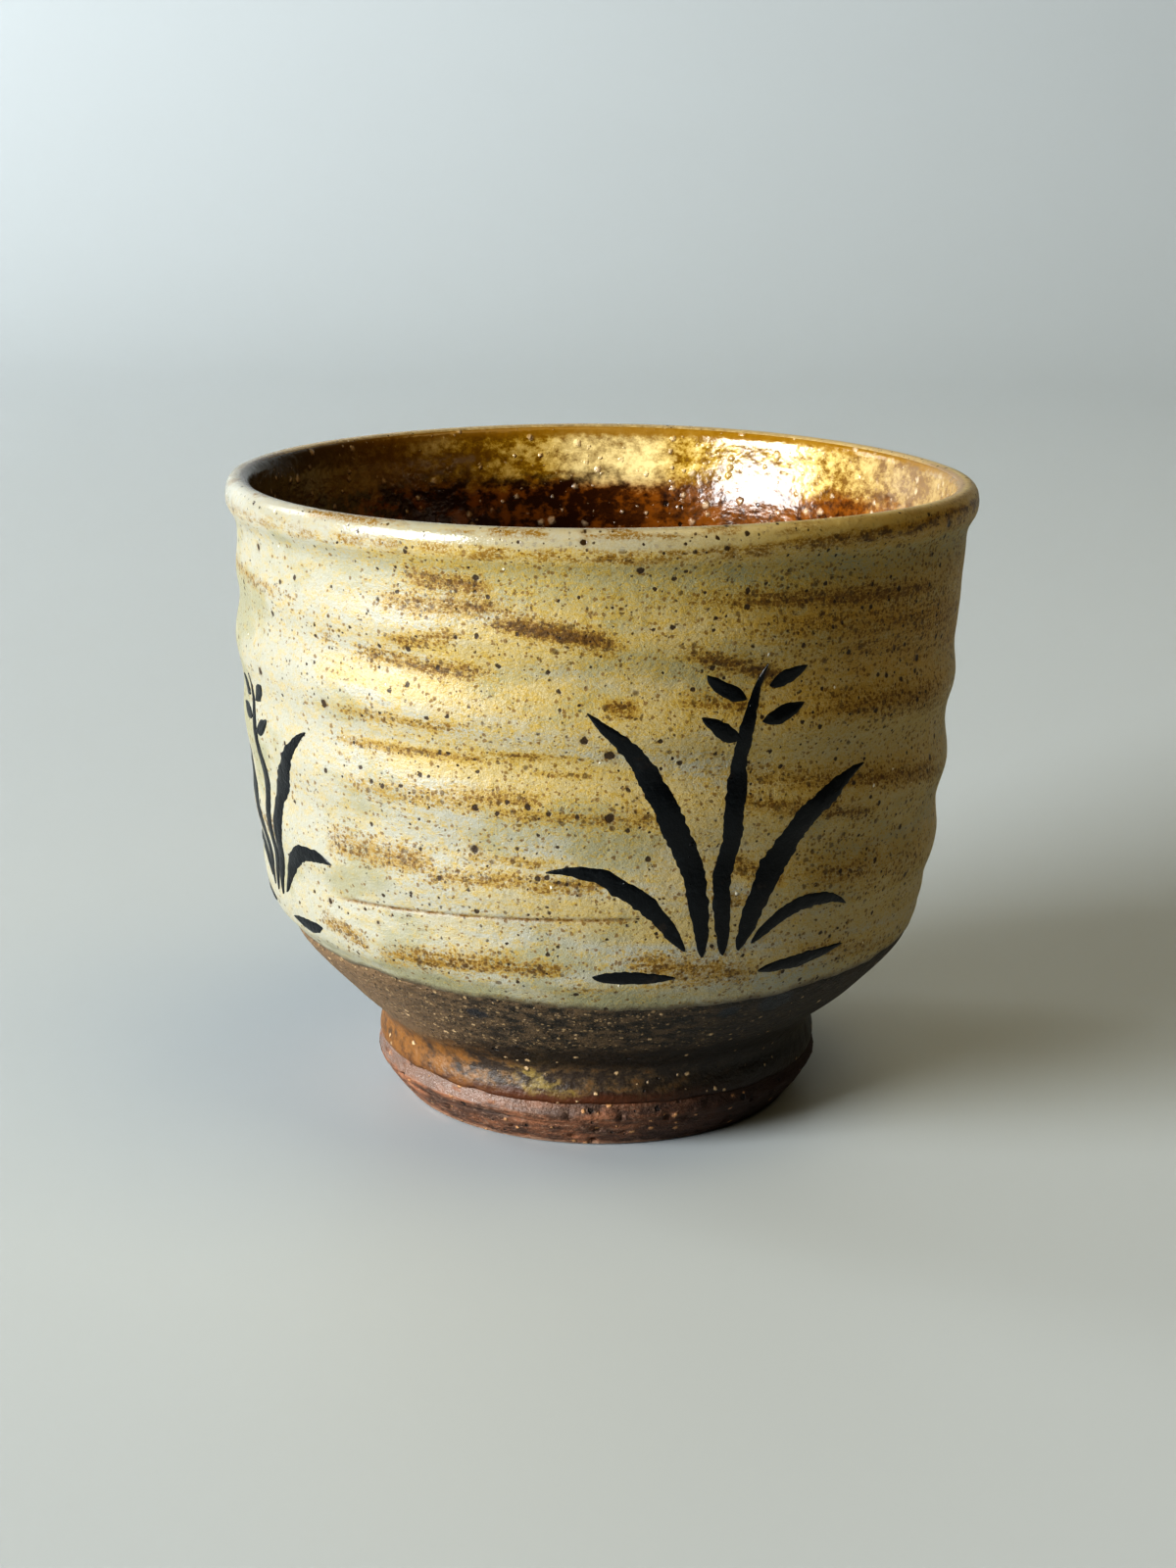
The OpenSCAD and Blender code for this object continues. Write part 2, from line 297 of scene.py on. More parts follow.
def lathe(name, outline, steps):
    """Turns a closed outline of (radius, height) points round the cup's axis."""
    bpy.ops.object.select_all(action="DESELECT")
    bpy.ops.mesh.primitive_circle_add(vertices=len(outline), radius=LIP_R * MM)
    piece = bpy.context.active_object
    piece.name = piece.data.name = name
    put_back(piece, np.stack([outline[:, 0], 0 * outline[:, 0], outline[:, 1]], -1))
    bpy.ops.object.mode_set(mode="EDIT")
    bpy.ops.mesh.select_all(action="SELECT")
    bpy.ops.mesh.spin(steps=steps, angle=2 * math.pi, center=(0, 0, 0), axis=(0, 0, 1))
    bpy.ops.mesh.select_all(action="SELECT")
    bpy.ops.mesh.remove_doubles(threshold=SEAM_GAP * MM)
    bpy.ops.mesh.delete_loose()
    bpy.ops.mesh.select_all(action="SELECT")
    bpy.ops.mesh.normals_make_consistent(inside=False)
    bpy.ops.object.mode_set(mode="OBJECT")
    return piece


def finish_piece(piece, material, slot, *nodes, smooth_angle=50):
    """Gives a piece its finish, and its place in the frame."""
    bpy.ops.object.select_all(action="DESELECT")
    piece.select_set(True)
    bpy.context.view_layer.objects.active = piece
    bpy.ops.object.shade_smooth_by_angle(angle=math.radians(smooth_angle))
    piece.data.materials.clear()
    piece.data.materials.append(material)
    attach(piece, "root")
    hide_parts(*nodes)


class Reading:
    """A value that runs over the surface. Sums on readings become Math nodes."""

    def __init__(self, recipe, socket):
        self.recipe, self.socket = recipe, socket

    def also(self, output):
        """Another output of the same node."""
        return Reading(self.recipe, self.socket.node.outputs[output])

    def maths(self, operation, *values, clamp=False):
        inputs = dict(enumerate(values))
        return self.recipe.add("ShaderNodeMath", {"operation": operation, "use_clamp": clamp}, inputs)

    def __add__(self, other):
        return self.maths("ADD", self, other)

    __radd__ = __add__

    def __sub__(self, other):
        return self.maths("SUBTRACT", self, other)

    def __rsub__(self, other):
        return self.maths("SUBTRACT", other, self)

    def __mul__(self, other):
        return self.maths("MULTIPLY", self, other)

    __rmul__ = __mul__

    def __truediv__(self, other):
        return self.maths("DIVIDE", self, other)

    def clamped(self):
        return self.maths("ADD", self, 0.0, clamp=True)

    def above(self, low, high):
        """0 below low and 1 above high, with a soft step between."""
        ramp = {"interpolation_type": "SMOOTHSTEP"}
        return self.recipe.add("ShaderNodeMapRange", ramp, {0: self, 1: low, 2: high})

    def between(self, low, full, still_full, high):
        return self.above(low, full) * (1 - self.above(still_full, high))

    def at_most(self, other):
        return self.maths("MINIMUM", self, other)


SPECK_RAGGED = 0.35
RAGGED_SCALE = 2.2


class Recipe:
    """A finish, written as a glaze recipe: readings of the place on the cup are mixed into
    the colour, the gloss and the fine relief of one surface."""

    def __init__(self, name):
        self.material = bpy.data.materials.new(name)
        self.material.use_nodes = True
        self.tree = self.material.node_tree
        self.shader = self.tree.nodes["Principled BSDF"]
        place = self.add("ShaderNodeTexCoord", {}, {}, "Object")
        self.place = self.vector_maths("SCALE", {0: place, "Scale": 1 / MM})
        self.x, self.y, self.z = (
            self.add("ShaderNodeSeparateXYZ", {}, {0: self.place}, axis) for axis in "XYZ"
        )
        lumps = {"Vector": self.place, "Scale": RAGGED_SCALE, "Detail": 1.0}
        jitter = self.add("ShaderNodeTexNoise", {}, lumps, "Color")
        jitter = self.vector_maths("SCALE", {0: jitter, "Scale": SPECK_RAGGED})
        self.ragged = self.vector_maths("ADD", {0: self.place, 1: jitter})

    def vector_maths(self, operation, inputs):
        return self.add("ShaderNodeVectorMath", {"operation": operation}, inputs)

    def painted(self, layer):
        return self.add("ShaderNodeAttribute", {"attribute_name": layer}, {}, "Fac")

    def add(self, kind, settings, inputs, output=0):
        """Adds a node: its settings first, then the values or links of its sockets."""
        node = self.tree.nodes.new(kind)
        for name, value in settings.items():
            setattr(node, name, value)
        for name, value in inputs.items():
            if isinstance(value, Reading):
                self.tree.links.new(value.socket, node.inputs[name])
            else:
                node.inputs[name].default_value = value
        return Reading(self, node.outputs[output])

    def mix(self, amount, first, second):
        """A colour that goes from the first to the second as amount goes from 0 to 1."""
        first, second = (c if isinstance(c, Reading) else (*c, 1) for c in (first, second))
        return self.add("ShaderNodeMix", {"data_type": "RGBA"}, {0: amount, 6: first, 7: second}, 2)

    def squeezed(self, across, up, slope=0.0):
        """The place with its lengths divided by across and up, and tilted to the right."""
        height = (self.z + self.x * slope) * (1 / up) if slope else self.z * (1 / up)
        inputs = {0: self.x * (1 / across), 1: self.y * (1 / across), 2: height}
        return self.add("ShaderNodeCombineXYZ", {}, inputs)

    def clouds(self, across, up=None, slope=0.0, detail=3.0, rough=0.55, shift=0.0):
        """Soft noise about 0.5, in lumps that are so many millimetres across and up."""
        place = self.squeezed(across, up or across, slope)
        if shift:
            place = self.vector_maths("ADD", {0: place, 1: (shift, shift, shift)})
        inputs = {"Vector": place, "Scale": 1.0, "Detail": detail, "Roughness": rough}
        return self.add("ShaderNodeTexNoise", {}, inputs)

    def specks(self, spacing, smallest, largest, kept, soft=0.3, shift=0.0):
        """Scattered specks of those radii, 1 inside and 0 outside. They lie in the glaze
        like grains in a solid, one to a cell, and a share of the cells keeps its own."""
        place = self.vector_maths("ADD", {0: self.ragged, 1: (shift, shift, shift)})
        cells = {"Vector": place, "Scale": 1 / spacing}
        distance = self.add("ShaderNodeTexVoronoi", {}, cells, "Distance")
        draw = self.add("ShaderNodeSeparateColor", {}, {0: distance.also("Color")})
        chance, dice = draw, draw.also(1)
        radius = (smallest + dice * dice * (largest - smallest)) * (1 / spacing)
        inside = ((radius - distance) / (radius * soft)).clamped()
        return inside * chance.maths("LESS_THAN", chance, kept)

    def relief(self, heights):
        """Fine relief, from heights in millimetres."""
        inputs = {"Height": heights, "Distance": MM, "Strength": 1.0}
        return self.add("ShaderNodeBump", {}, inputs, "Normal")

    def fire(self, colour, rough, relief=None, gloss=0.5):
        """Sends the readings to the surface, and returns the fired finish. The gloss is how
        strongly the surface mirrors, whatever its roughness."""
        feeds = {"Base Color": colour, "Roughness": rough, "Normal": relief}
        for name, value in feeds.items():
            if isinstance(value, Reading):
                self.tree.links.new(value.socket, self.shader.inputs[name])
            elif value is not None:
                self.shader.inputs[name].default_value = value
        self.shader.inputs["Specular IOR Level"].default_value = gloss
        return self.material


# In the finishes, a span is the heights or places across where a tone begins, is full, is
# still full and ends, a rise is where it comes in, and a size is a speck's spacing, smallest
# radius and largest radius
FLASH_SPAN = (4.45, 4.7, 6.2, 6.6)
STANDING_RISE = (0.35, 0.6)
# The rise across where painted shade comes in, on the side away from the window
SHADE_RISE = (-3, 18)
CLAY_GROG_SIZE = (1.25, 0.16, 0.46)
CLAY_PIT_SIZE = (1.2, 0.14, 0.42)


def clay_recipe():
    """Unglazed stoneware: matt, with grog, small pits and wheel lines, and a glossy flash of pink
    along the ledge at the left, beside the glaze, its paler colour a painted highlight where the
    window catches it. The right side, away from the window, is painted darker as painted shade."""
    clay = Recipe("stoneware_clay")
    burnt = clay.clouds(4, 1.4, detail=5, rough=0.65).above(0.38, 0.62)
    body = clay.mix(burnt, CLAY_RED, CLAY_BROWN)
    gritty = clay.clouds(0.7, 0.4, detail=3, rough=0.75).above(0.50, 0.68)
    body = clay.mix(gritty * 0.6, body, CLAY_PALE)
    # At the left the ledge is glossy, and its pale pink is a painted highlight where the window
    # catches it
    left = (0.12 - clay.x * 0.06).clamped()
    flash = clay.z.between(*FLASH_SPAN) * left * clay.clouds(3, 1, detail=4).above(0.30, 0.50)
    body = clay.mix(flash * 0.85, body, CLAY_FLASH_HIGHLIGHT)
    edge = 1 - (clay.z + (clay.clouds(4, detail=3) - 0.5) * 1.2).above(*STANDING_RISE)
    body = clay.mix(edge * 0.6, body, CLAY_PALE)
    # Painted shade: the clay darker on the right, the side away from the window
    body = clay.mix(clay.x.above(*SHADE_RISE) * 0.9, body, CLAY_SHADE)
    grog = clay.specks(*CLAY_GROG_SIZE, 0.42, soft=0.5)
    body = clay.mix(grog * 0.75, body, CLAY_GROG)
    pits = clay.specks(*CLAY_PIT_SIZE, 0.26, soft=0.35, shift=4.0)
    pits = (pits + clay.painted("crack") * 0.55).clamped()
    body = clay.mix(pits * 0.9, body, CLAY_PIT)
    heights = (
        clay.clouds(0.5, 0.35, detail=3, rough=0.7) * 0.20 + clay.clouds(12, 0.5, detail=3) * 0.16
        + grog * 0.14 - pits * 0.30 + clay.clouds(1.6, 0.8, detail=3) * 0.18
    )
    rough = 0.62 + clay.clouds(2, detail=2) * 0.2 - flash * 0.52
    return clay.fire(body, rough, clay.relief(heights))


clay_finish = clay_recipe()

bowl_steps = np.linspace(reach_at(FOOT_H), reach[-1], BOWL_POINTS)
bowl_skin = line_at(bowl_steps, -GLAZE_T)
bowl = lathe("clay_bowl_thrown", np.concatenate([[[0, bowl_skin[0, 1]]], bowl_skin]), BOWL_SIDES)
put_back(bowl, thrown(places_of(bowl)))
finish_piece(bowl, clay_finish, "stoneware_clay", "clay_bowl")


# Turned foot
# Turned from the same clay when it was leather hard: a ring to stand on, a bare band with a
# tool line and a sharp ledge, and a hollow underside with the little cone that the tool left.
BASE_R = 23.1
LEDGE_R = 25.85
LEDGE_Z = 4.6
LEDGE_ROUND = 0.25
BAND_PULLS = ((24.2, 1.6), (25.3, 3.2))
BAND_POINTS = 30
RECESS_R = 19.6
RECESS_Z = 6.2
RECESS_ROOF_R = 17.2
RECESS_PULLS = ((19.0, 3.1), (18.4, RECESS_Z - 0.3))
RECESS_POINTS = 14
RECESS_DOME = 0.12
NUB_R = 3.4
NUB_H = 0.8
EDGE = 0.6
EDGE_FLAT = 0.35
TUCK_Z = 6.3
TUCK_POINTS = 6
TOOL_LINE_Z = 3.3
TOOL_LINE_HALF_H = 0.22
TOOL_LINE_DEPTH = 0.10
BEVEL = [(25.72, 4.78), (25.55, 5.40), (25.30, 6.10)]
FOOT_SIDES = 384
# Where the clay is bare, by height and by radius, and what chipped it there: bites of a size
# and depth, out of the peaks of the noise, and fine nicks
BARE_SPAN = (0.1, 0.9, 4.4, 6.2)
BARE_START = (20, 23)
BITE_SIZE = 1.3
BITE_PEAK = 0.34
BITE_DEPTH = 1.5
NICK_SIZE = 0.7
NICK_DEPTH = 0.07
DENT_SIZE = 4.0
DENT_DEPTH = 0.08
# The shrinkage crack, with its bearings in degrees
CRACK_Z = 3.5
CRACK_DEPTH = 0.30
CRACK_HALF_H = 0.16
CRACK_WANDER = 0.35
CRACK_WANDER_W = 3.5
CRACK_SPAN = (-62, -52, -22, -14)

band = bow((BASE_R, EDGE), *BAND_PULLS, (LEDGE_R, LEDGE_Z - LEDGE_ROUND), BAND_POINTS)
tool_line = np.exp(-(((band[:, 1] - TOOL_LINE_Z) / TOOL_LINE_HALF_H) ** 2))
band[:, 0] -= TOOL_LINE_DEPTH * tool_line
under_glaze = line_at(np.linspace(reach_at(TUCK_Z), reach_at(FOOT_H), TUCK_POINTS), -GLAZE_T)
recess = bow((RECESS_R, EDGE), *RECESS_PULLS, (RECESS_ROOF_R, RECESS_Z), RECESS_POINTS)
foot_outline = np.concatenate([
    [[RECESS_R + EDGE, 0.02], [RECESS_R + EDGE + EDGE_FLAT, 0]],
    [[BASE_R - EDGE - EDGE_FLAT, 0], [BASE_R - EDGE, 0.05], [BASE_R - EDGE / 3, EDGE / 3]],
    [[BASE_R, EDGE]], band,
    [[LEDGE_R - 0.03, LEDGE_Z - 0.06]], BEVEL,
    under_glaze,
    [[0, under_glaze[-1, 1]], [0, RECESS_Z - NUB_H], [NUB_R * 0.35, RECESS_Z - NUB_H * 0.75]],
    [[NUB_R * 0.7, RECESS_Z - NUB_H * 0.2], [NUB_R, RECESS_Z]],
    [[(NUB_R + RECESS_ROOF_R) / 2, RECESS_Z + RECESS_DOME]],
    recess[::-1],
    [[RECESS_R, EDGE], [RECESS_R + EDGE / 3, EDGE / 3]],
])
foot = lathe("foot_ring_turned", foot_outline, FOOT_SIDES)
foot_places = places_of(foot)
foot_radius = np.hypot(foot_places[:, 0], foot_places[:, 1])
bare = rise_and_fall(foot_places[:, 2], *BARE_SPAN) * ease(foot_radius, *BARE_START)
bites = np.maximum(grain_noise(foot_places, BITE_SIZE, 2) - BITE_PEAK, 0) * BITE_DEPTH
nicks = grain_noise(foot_places, NICK_SIZE, 3) * NICK_DEPTH
nicks = nicks + grain_noise(foot_places, DENT_SIZE, 4) * DENT_DEPTH
crack_z = CRACK_Z + CRACK_WANDER * grain_noise(foot_places * FLAT, CRACK_WANDER_W, 12)
crack = CRACK_DEPTH * np.exp(-(((foot_places[:, 2] - crack_z) / CRACK_HALF_H) ** 2))
crack *= rise_and_fall(bearings_of(foot_places), *CRACK_SPAN)
shrink = 1 + (nicks - bites - crack) * bare / np.maximum(foot_radius, 1)
foot_places[:, :2] *= shrink[:, None]
paint(foot, "crack", crack / CRACK_DEPTH)
put_back(foot, thrown(foot_places))
finish_piece(foot, clay_finish, "stoneware_clay", "foot_ring", smooth_angle=40)


# Brown glaze
# An iron glaze that was brushed on the underside of the belly and on the foot wall. It is
# matt and gritty on the belly, glossy over the foot, and pools amber along its lower edge.
BROWN_TUCK_Z = 24.4
BROWN_THIN_Z = 19.0
BROWN_THINNING = 0.24
BROWN_LEAST_T = 0.03
BROWN_STEP = 0.42
BROWN_SIDES = 384
# How far in from a coat's edge the points of its rounding lie, where its even steps begin, and
# how far the back of a coat is let into the clay
EDGE_ROUND = 0.75
EDGE_REACH = (0, 0.06, 0.16, 0.30, 0.50, EDGE_ROUND)
EDGE_CLEAR = 1.05
BACK_LAP = 0.02
BROWN_DARK = (0.017, 0.012, 0.006)
BROWN_WARM = (0.118, 0.076, 0.038)
BROWN_LIT = (0.200, 0.126, 0.064)
BROWN_GRIT = (0.36, 0.25, 0.13)
BROWN_OLIVE = (0.016, 0.010, 0.004)
FOOT_AMBER = (0.215, 0.092, 0.015)
FOOT_OLIVE = (0.25, 0.185, 0.050)
FOOT_GREY = (0.036, 0.022, 0.013)
FOOT_RUST = (0.085, 0.022, 0.003)
PALE_GRAIN = (0.62, 0.44, 0.25)
BROWN_PINHOLE = (0.006, 0.004, 0.003)
INK_BLUE = (0.005, 0.009, 0.014)
BEAD_T = 0.10
BEAD_SPAN = (0, 0.7, 2.2, 6.0)
# The olive run of ash, which leans with the height, and the side that faces the window, which
# is painted lighter as painted light. Bearings are in degrees, to the right of the front
RUN_BEARING = -14
RUN_HALF_W = 7
RUN_SPAN = (4.6, 5.6, 8.6, 10.6)
RUN_LEAN = 2.2
RUN_LEAN_Z = 8.2
LIT_FROM = (14, 52)
LIT_TO = (-176, -140)
# Drops of ink that fell on the belly: bearing, height and radius
INK_DROPS = [
    (-22, 18.6, 1.1), (33, 19.6, 2.0), (24, 19.2, 1.2),
    (-17, 13.2, 0.7), (150, 17.5, 1.3), (-120, 18.8, 0.9),
]
DROP_SQUASH = 1.5
DROP_SOFT = 0.25
DROP_RAGGED = 0.2
DROP_RAGGED_SIZE = 1.2
# The lower edge, which is slid along the wall within its reach: how far up all round, how far
# down at the right, its four waves, and how ragged it is
FOOT_EDGE_REACH = 2.2
FOOT_EDGE_UP = 0.28
FOOT_EDGE_LEAN = 0.36
FOOT_EDGE_TURN = 0.2
FOOT_EDGE_WAVES = 0.10
FOOT_EDGE_RAGGED = 0.26
FOOT_EDGE_RAGGED_W = 2.4


def round_ends(places, low, high, start=None, end=None):
    """Depths between low and high, rounded over the reaches start and end."""
    full = np.ones(len(places))
    if start:
        t = np.clip((places - places[0]) / start, 0, 1)
        full = full * np.sqrt(1 - (1 - t) ** 2)
    if end:
        t = np.clip((places[-1] - places) / end, 0, 1)
        full = full * np.sqrt(1 - (1 - t) ** 2)
    return low + (high - low) * full


def slide_edge(places, edge_z, span, wave):
    """Moves the edge of a coat up and down along the wall by wave, in millimetres."""
    turn = np.arctan2(places[:, 0], -places[:, 1])
    near = (1 - ease(np.abs(places[:, 2] - edge_z), 0, span)) * wave(turn, places)
    radius = np.hypot(places[:, 0], places[:, 1])
    grown = radius + outer_radius(places[:, 2] + near) - outer_radius(places[:, 2])
    places[:, :2] *= (grown / radius)[:, None]
    places[:, 2] += near
    return places


def foot_edge_wave(turn, places):
    slow = FOOT_EDGE_UP - FOOT_EDGE_LEAN * np.sin(turn - FOOT_EDGE_TURN)
    slow = slow + FOOT_EDGE_WAVES * np.sin(4 * turn)
    return slow + FOOT_EDGE_RAGGED * grain_noise(places * FLAT, FOOT_EDGE_RAGGED_W, 5)


brown_reach = reach_at(BROWN_TUCK_Z)
brown_steps = np.arange(EDGE_CLEAR, brown_reach, BROWN_STEP)
brown_steps = np.concatenate([EDGE_REACH, brown_steps, [brown_reach]])
brown_top = round_ends(brown_steps, -GLAZE_T, 0, start=EDGE_ROUND)
tuck_start = reach_at(BROWN_THIN_Z)
brown_top = brown_top - BROWN_THINNING * ease(brown_steps, tuck_start, brown_reach)
brown_top = brown_top + BEAD_T * rise_and_fall(brown_steps, *BEAD_SPAN)
brown_line = line_at(brown_steps, np.maximum(brown_top, -GLAZE_T + BROWN_LEAST_T))
brown_back = line_at(brown_steps[::-2], -GLAZE_T - BACK_LAP)
brown = lathe("brown_glaze_coat", np.concatenate([brown_line, brown_back]), BROWN_SIDES)
brown_places = places_of(brown)
brown_places = slide_edge(brown_places, GLAZE_FOOT_Z, FOOT_EDGE_REACH, foot_edge_wave)
brown_turn = bearings_of(brown_places)
run_lean = (RUN_LEAN_Z - brown_places[:, 2]) * RUN_LEAN
run_across = (brown_turn - RUN_BEARING - run_lean) / RUN_HALF_W
paint(brown, "run", np.exp(-(run_across**2)) * rise_and_fall(brown_places[:, 2], *RUN_SPAN))
paint(brown, "lit_side", ease(-brown_turn, *LIT_FROM) * ease(brown_turn, *LIT_TO))
drops = np.zeros(len(brown_places))
for drop_bearing, drop_z, drop_r in INK_DROPS:
    across = np.radians(brown_turn - drop_bearing) * outer_radius(drop_z)
    apart = np.hypot(across, (brown_places[:, 2] - drop_z) * DROP_SQUASH)
    apart = apart * (1 + DROP_RAGGED * grain_noise(brown_places, DROP_RAGGED_SIZE, 13))
    drops = np.maximum(drops, 1 - ease(apart, drop_r - DROP_SOFT, drop_r + DROP_SOFT))
paint(brown, "drops", drops)
put_back(brown, thrown(brown_places))


BROWN_LOW_RISE = (12.6, 14.4)
POOL_RISE = (6.4, 7.6)
# Painted shade: the heights of the crease above the foot
HOLLOW_SPAN = (9.6, 11.2, 13.4, 15.2)
# Where painted shade comes in on the belly's right side, away from the window
BELLY_SHADE_RISE = (-2, 24)
GRIT_SIZE = (0.55, 0.15, 0.34)
SOOT_SIZE = (0.60, 0.12, 0.30)
PALE_GRAIN_SIZE = (1.1, 0.16, 0.42)
BROWN_PINHOLE_SIZE = (1.6, 0.16, 0.46)


def brown_recipe():
    """Gritty grey brown on the belly. Over the foot it is glossy: amber where it is thin, an olive
    run of ash at the front, grey brown beside it, and rust where it pools. The side that faces the
    window is painted lighter as painted light, with the amber laid mostly there, and the right side
    and the crease above the foot are painted darker as painted shade."""
    glaze = Recipe("brown_iron_glaze")
    lit = glaze.painted("lit_side")
    run = glaze.painted("run")
    mottle = glaze.clouds(1.8, 1.2, detail=4, rough=0.65)
    low_line = glaze.z + lit * 3.0 + (glaze.clouds(6, 1.5, detail=4) - 0.5) * 3
    low = 1 - low_line.above(*BROWN_LOW_RISE)
    dry = glaze.clouds(2.0, 0.9, slope=0.03, detail=5, rough=0.72).above(0.41, 0.60)
    body = glaze.mix(dry, BROWN_DARK, BROWN_WARM)
    # Painted light: lighter brown on the side that faces the window
    body = glaze.mix(lit * 0.8, body, BROWN_LIT)
    streaks = glaze.clouds(7, 0.9, slope=0.04, detail=4, rough=0.6, shift=3.0).above(0.40, 0.62)
    grit = glaze.specks(*GRIT_SIZE, 0.25 + streaks * 0.45, soft=0.5)
    body = glaze.mix(grit * 0.85, body, BROWN_GRIT)
    soot = glaze.specks(*SOOT_SIZE, 0.40, soft=0.5, shift=9.0)
    body = glaze.mix(soot * 0.8, body, BROWN_OLIVE)
    wall = glaze.mix(mottle.above(0.42, 0.62), FOOT_GREY, BROWN_WARM)
    # Amber where the glaze is thin, laid most on the side that faces the window: partly the glaze's
    # own colour and partly painted light
    thin = (lit + (mottle - 0.5) * 4.0 - 0.15).clamped()
    wall = glaze.mix(thin * 0.85, wall, FOOT_AMBER)
    ash = (run * 1.5 + (mottle - 0.64) * 6.0).clamped() * run.above(0.05, 0.4)
    wall = glaze.mix(ash * 0.75, wall, FOOT_OLIVE)
    # Rust where the glaze pools, painted weaker on the side that faces the window as painted light
    pool = (1 - (glaze.z + (mottle - 0.5) * 1.6).above(*POOL_RISE)) * (1 - lit * 0.7)
    wall = glaze.mix(pool * 0.95, wall, FOOT_RUST)
    # Painted shade in the crease between the foot wall and the belly, weaker on the window side
    hollow = (glaze.z + (mottle - 0.5) * 2).between(*HOLLOW_SPAN) * (1 - lit * 0.8)
    wall = glaze.mix(hollow * 0.8, wall, BROWN_OLIVE)
    # Painted shade: the foot wall and the belly darker on the right, away from the window
    wall = glaze.mix(glaze.x.above(*SHADE_RISE) * 0.9, wall, BROWN_OLIVE)
    body = glaze.mix(glaze.x.above(*BELLY_SHADE_RISE) * 0.82, body, BROWN_OLIVE)
    body = glaze.mix(low, body, wall)
    pale_grains = glaze.specks(*PALE_GRAIN_SIZE, 0.26, soft=0.5, shift=2.0)
    body = glaze.mix(pale_grains * 0.85, body, PALE_GRAIN)
    pinholes = glaze.specks(*BROWN_PINHOLE_SIZE, 0.20, soft=0.3, shift=6.0) * (0.4 + low * 0.6)
    body = glaze.mix(pinholes * 0.95, body, BROWN_PINHOLE)
    ink_drops = glaze.painted("drops")
    body = glaze.mix(ink_drops * 0.92, body, INK_BLUE)
    gritty = glaze.clouds(0.6, 0.4, detail=3, rough=0.7) * 0.24 + grit * 0.08 - soot * 0.08
    heights = (
        gritty * (1 - low * 0.8)
        + glaze.clouds(5, 1.2, slope=0.03, detail=3) * 0.16 * (1 - low * 0.6)
        + pale_grains * 0.16 - pinholes * 0.35 + glaze.clouds(1.4, detail=3) * 0.26
    )
    rough = 0.50 - low * 0.08 - ink_drops * 0.25 + glaze.clouds(1.5, detail=2) * 0.14
    return glaze.fire(body, rough, glaze.relief(heights))


finish_piece(brown, brown_recipe(), "brown_iron_glaze", "brown_glaze")


# Amber glaze
# The iron glaze poured inside and out again. It lines the cup from the lip to the well,
# reddish brown and glossy, with a golden band under the lip and pale grains of grog.
AMBER_DEEP = (0.034, 0.010, 0.002)
AMBER_RED = (0.215, 0.074, 0.006)
AMBER_WARM = (0.30, 0.105, 0.008)
AMBER_OCHRE = (0.185, 0.090, 0.003)
AMBER_GOLD = (0.53, 0.335, 0.024)
AMBER_BUFF = (0.90, 0.74, 0.38)
AMBER_EDGE = (0.27, 0.140, 0.006)
AMBER_MAUVE = (0.27, 0.195, 0.14)
AMBER_SHADE_GREY = (0.036, 0.034, 0.026)
AMBER_GRAIN_GLINT = (0.72, 0.56, 0.38)
AMBER_PIT = (0.014, 0.007, 0.004)
AMBER_GLOSS = 0.45
LIP_SEAM_Z = 71.55
SEAM_LAP = 0.9
SEAM_CLEAR = 1.1
AMBER_TOP = -0.02
AMBER_LEAST_T = 0.04
AMBER_ROUND = SEAM_LAP * 0.8
AMBER_POINTS = 130
AMBER_SIDES = 320

amber_start = reach_at(LIP_SEAM_Z, "inside") - SEAM_LAP
amber_steps = np.linspace(amber_start + SEAM_CLEAR, reach[-1], AMBER_POINTS)
amber_steps = np.concatenate([amber_start + np.array(EDGE_REACH), amber_steps])
amber_top = round_ends(amber_steps, -GLAZE_T + AMBER_LEAST_T, AMBER_TOP, start=AMBER_ROUND)
amber_line = line_at(amber_steps, amber_top)
amber_back = line_at(amber_steps[::-4], -GLAZE_T - BACK_LAP)
amber = lathe("amber_glaze_lining", np.concatenate([amber_line, amber_back]), AMBER_SIDES)
put_back(amber, thrown(places_of(amber)))

# The golden band under the lip, and what changes in it and below it from left to right: a pale
# patch of painted light on the far wall, and painted shade at the left, away from the window
GOLD_RISE = (64.0, 67.0)
SEAM_RISE = (70.4, 71.3)
GLOW_SPAN = (-8, -2, 5, 11)
GLOW_RIGHT_RISE = (17, 27)
GLOW_FAR_RISE = (-20, 0)
HAZE_RISE = (26, 37)
OCHRE_SHADE_RISE = (-34, -6)
WARM_RISE = (-6, 22)
SHADE_GREY_RISE = (-40, -24)
AMBER_GRAIN_SIZE = (1.5, 0.30, 0.66)
AMBER_FINE_SIZE = (0.7, 0.08, 0.22)
AMBER_PIT_SIZE = (1.9, 0.16, 0.45)


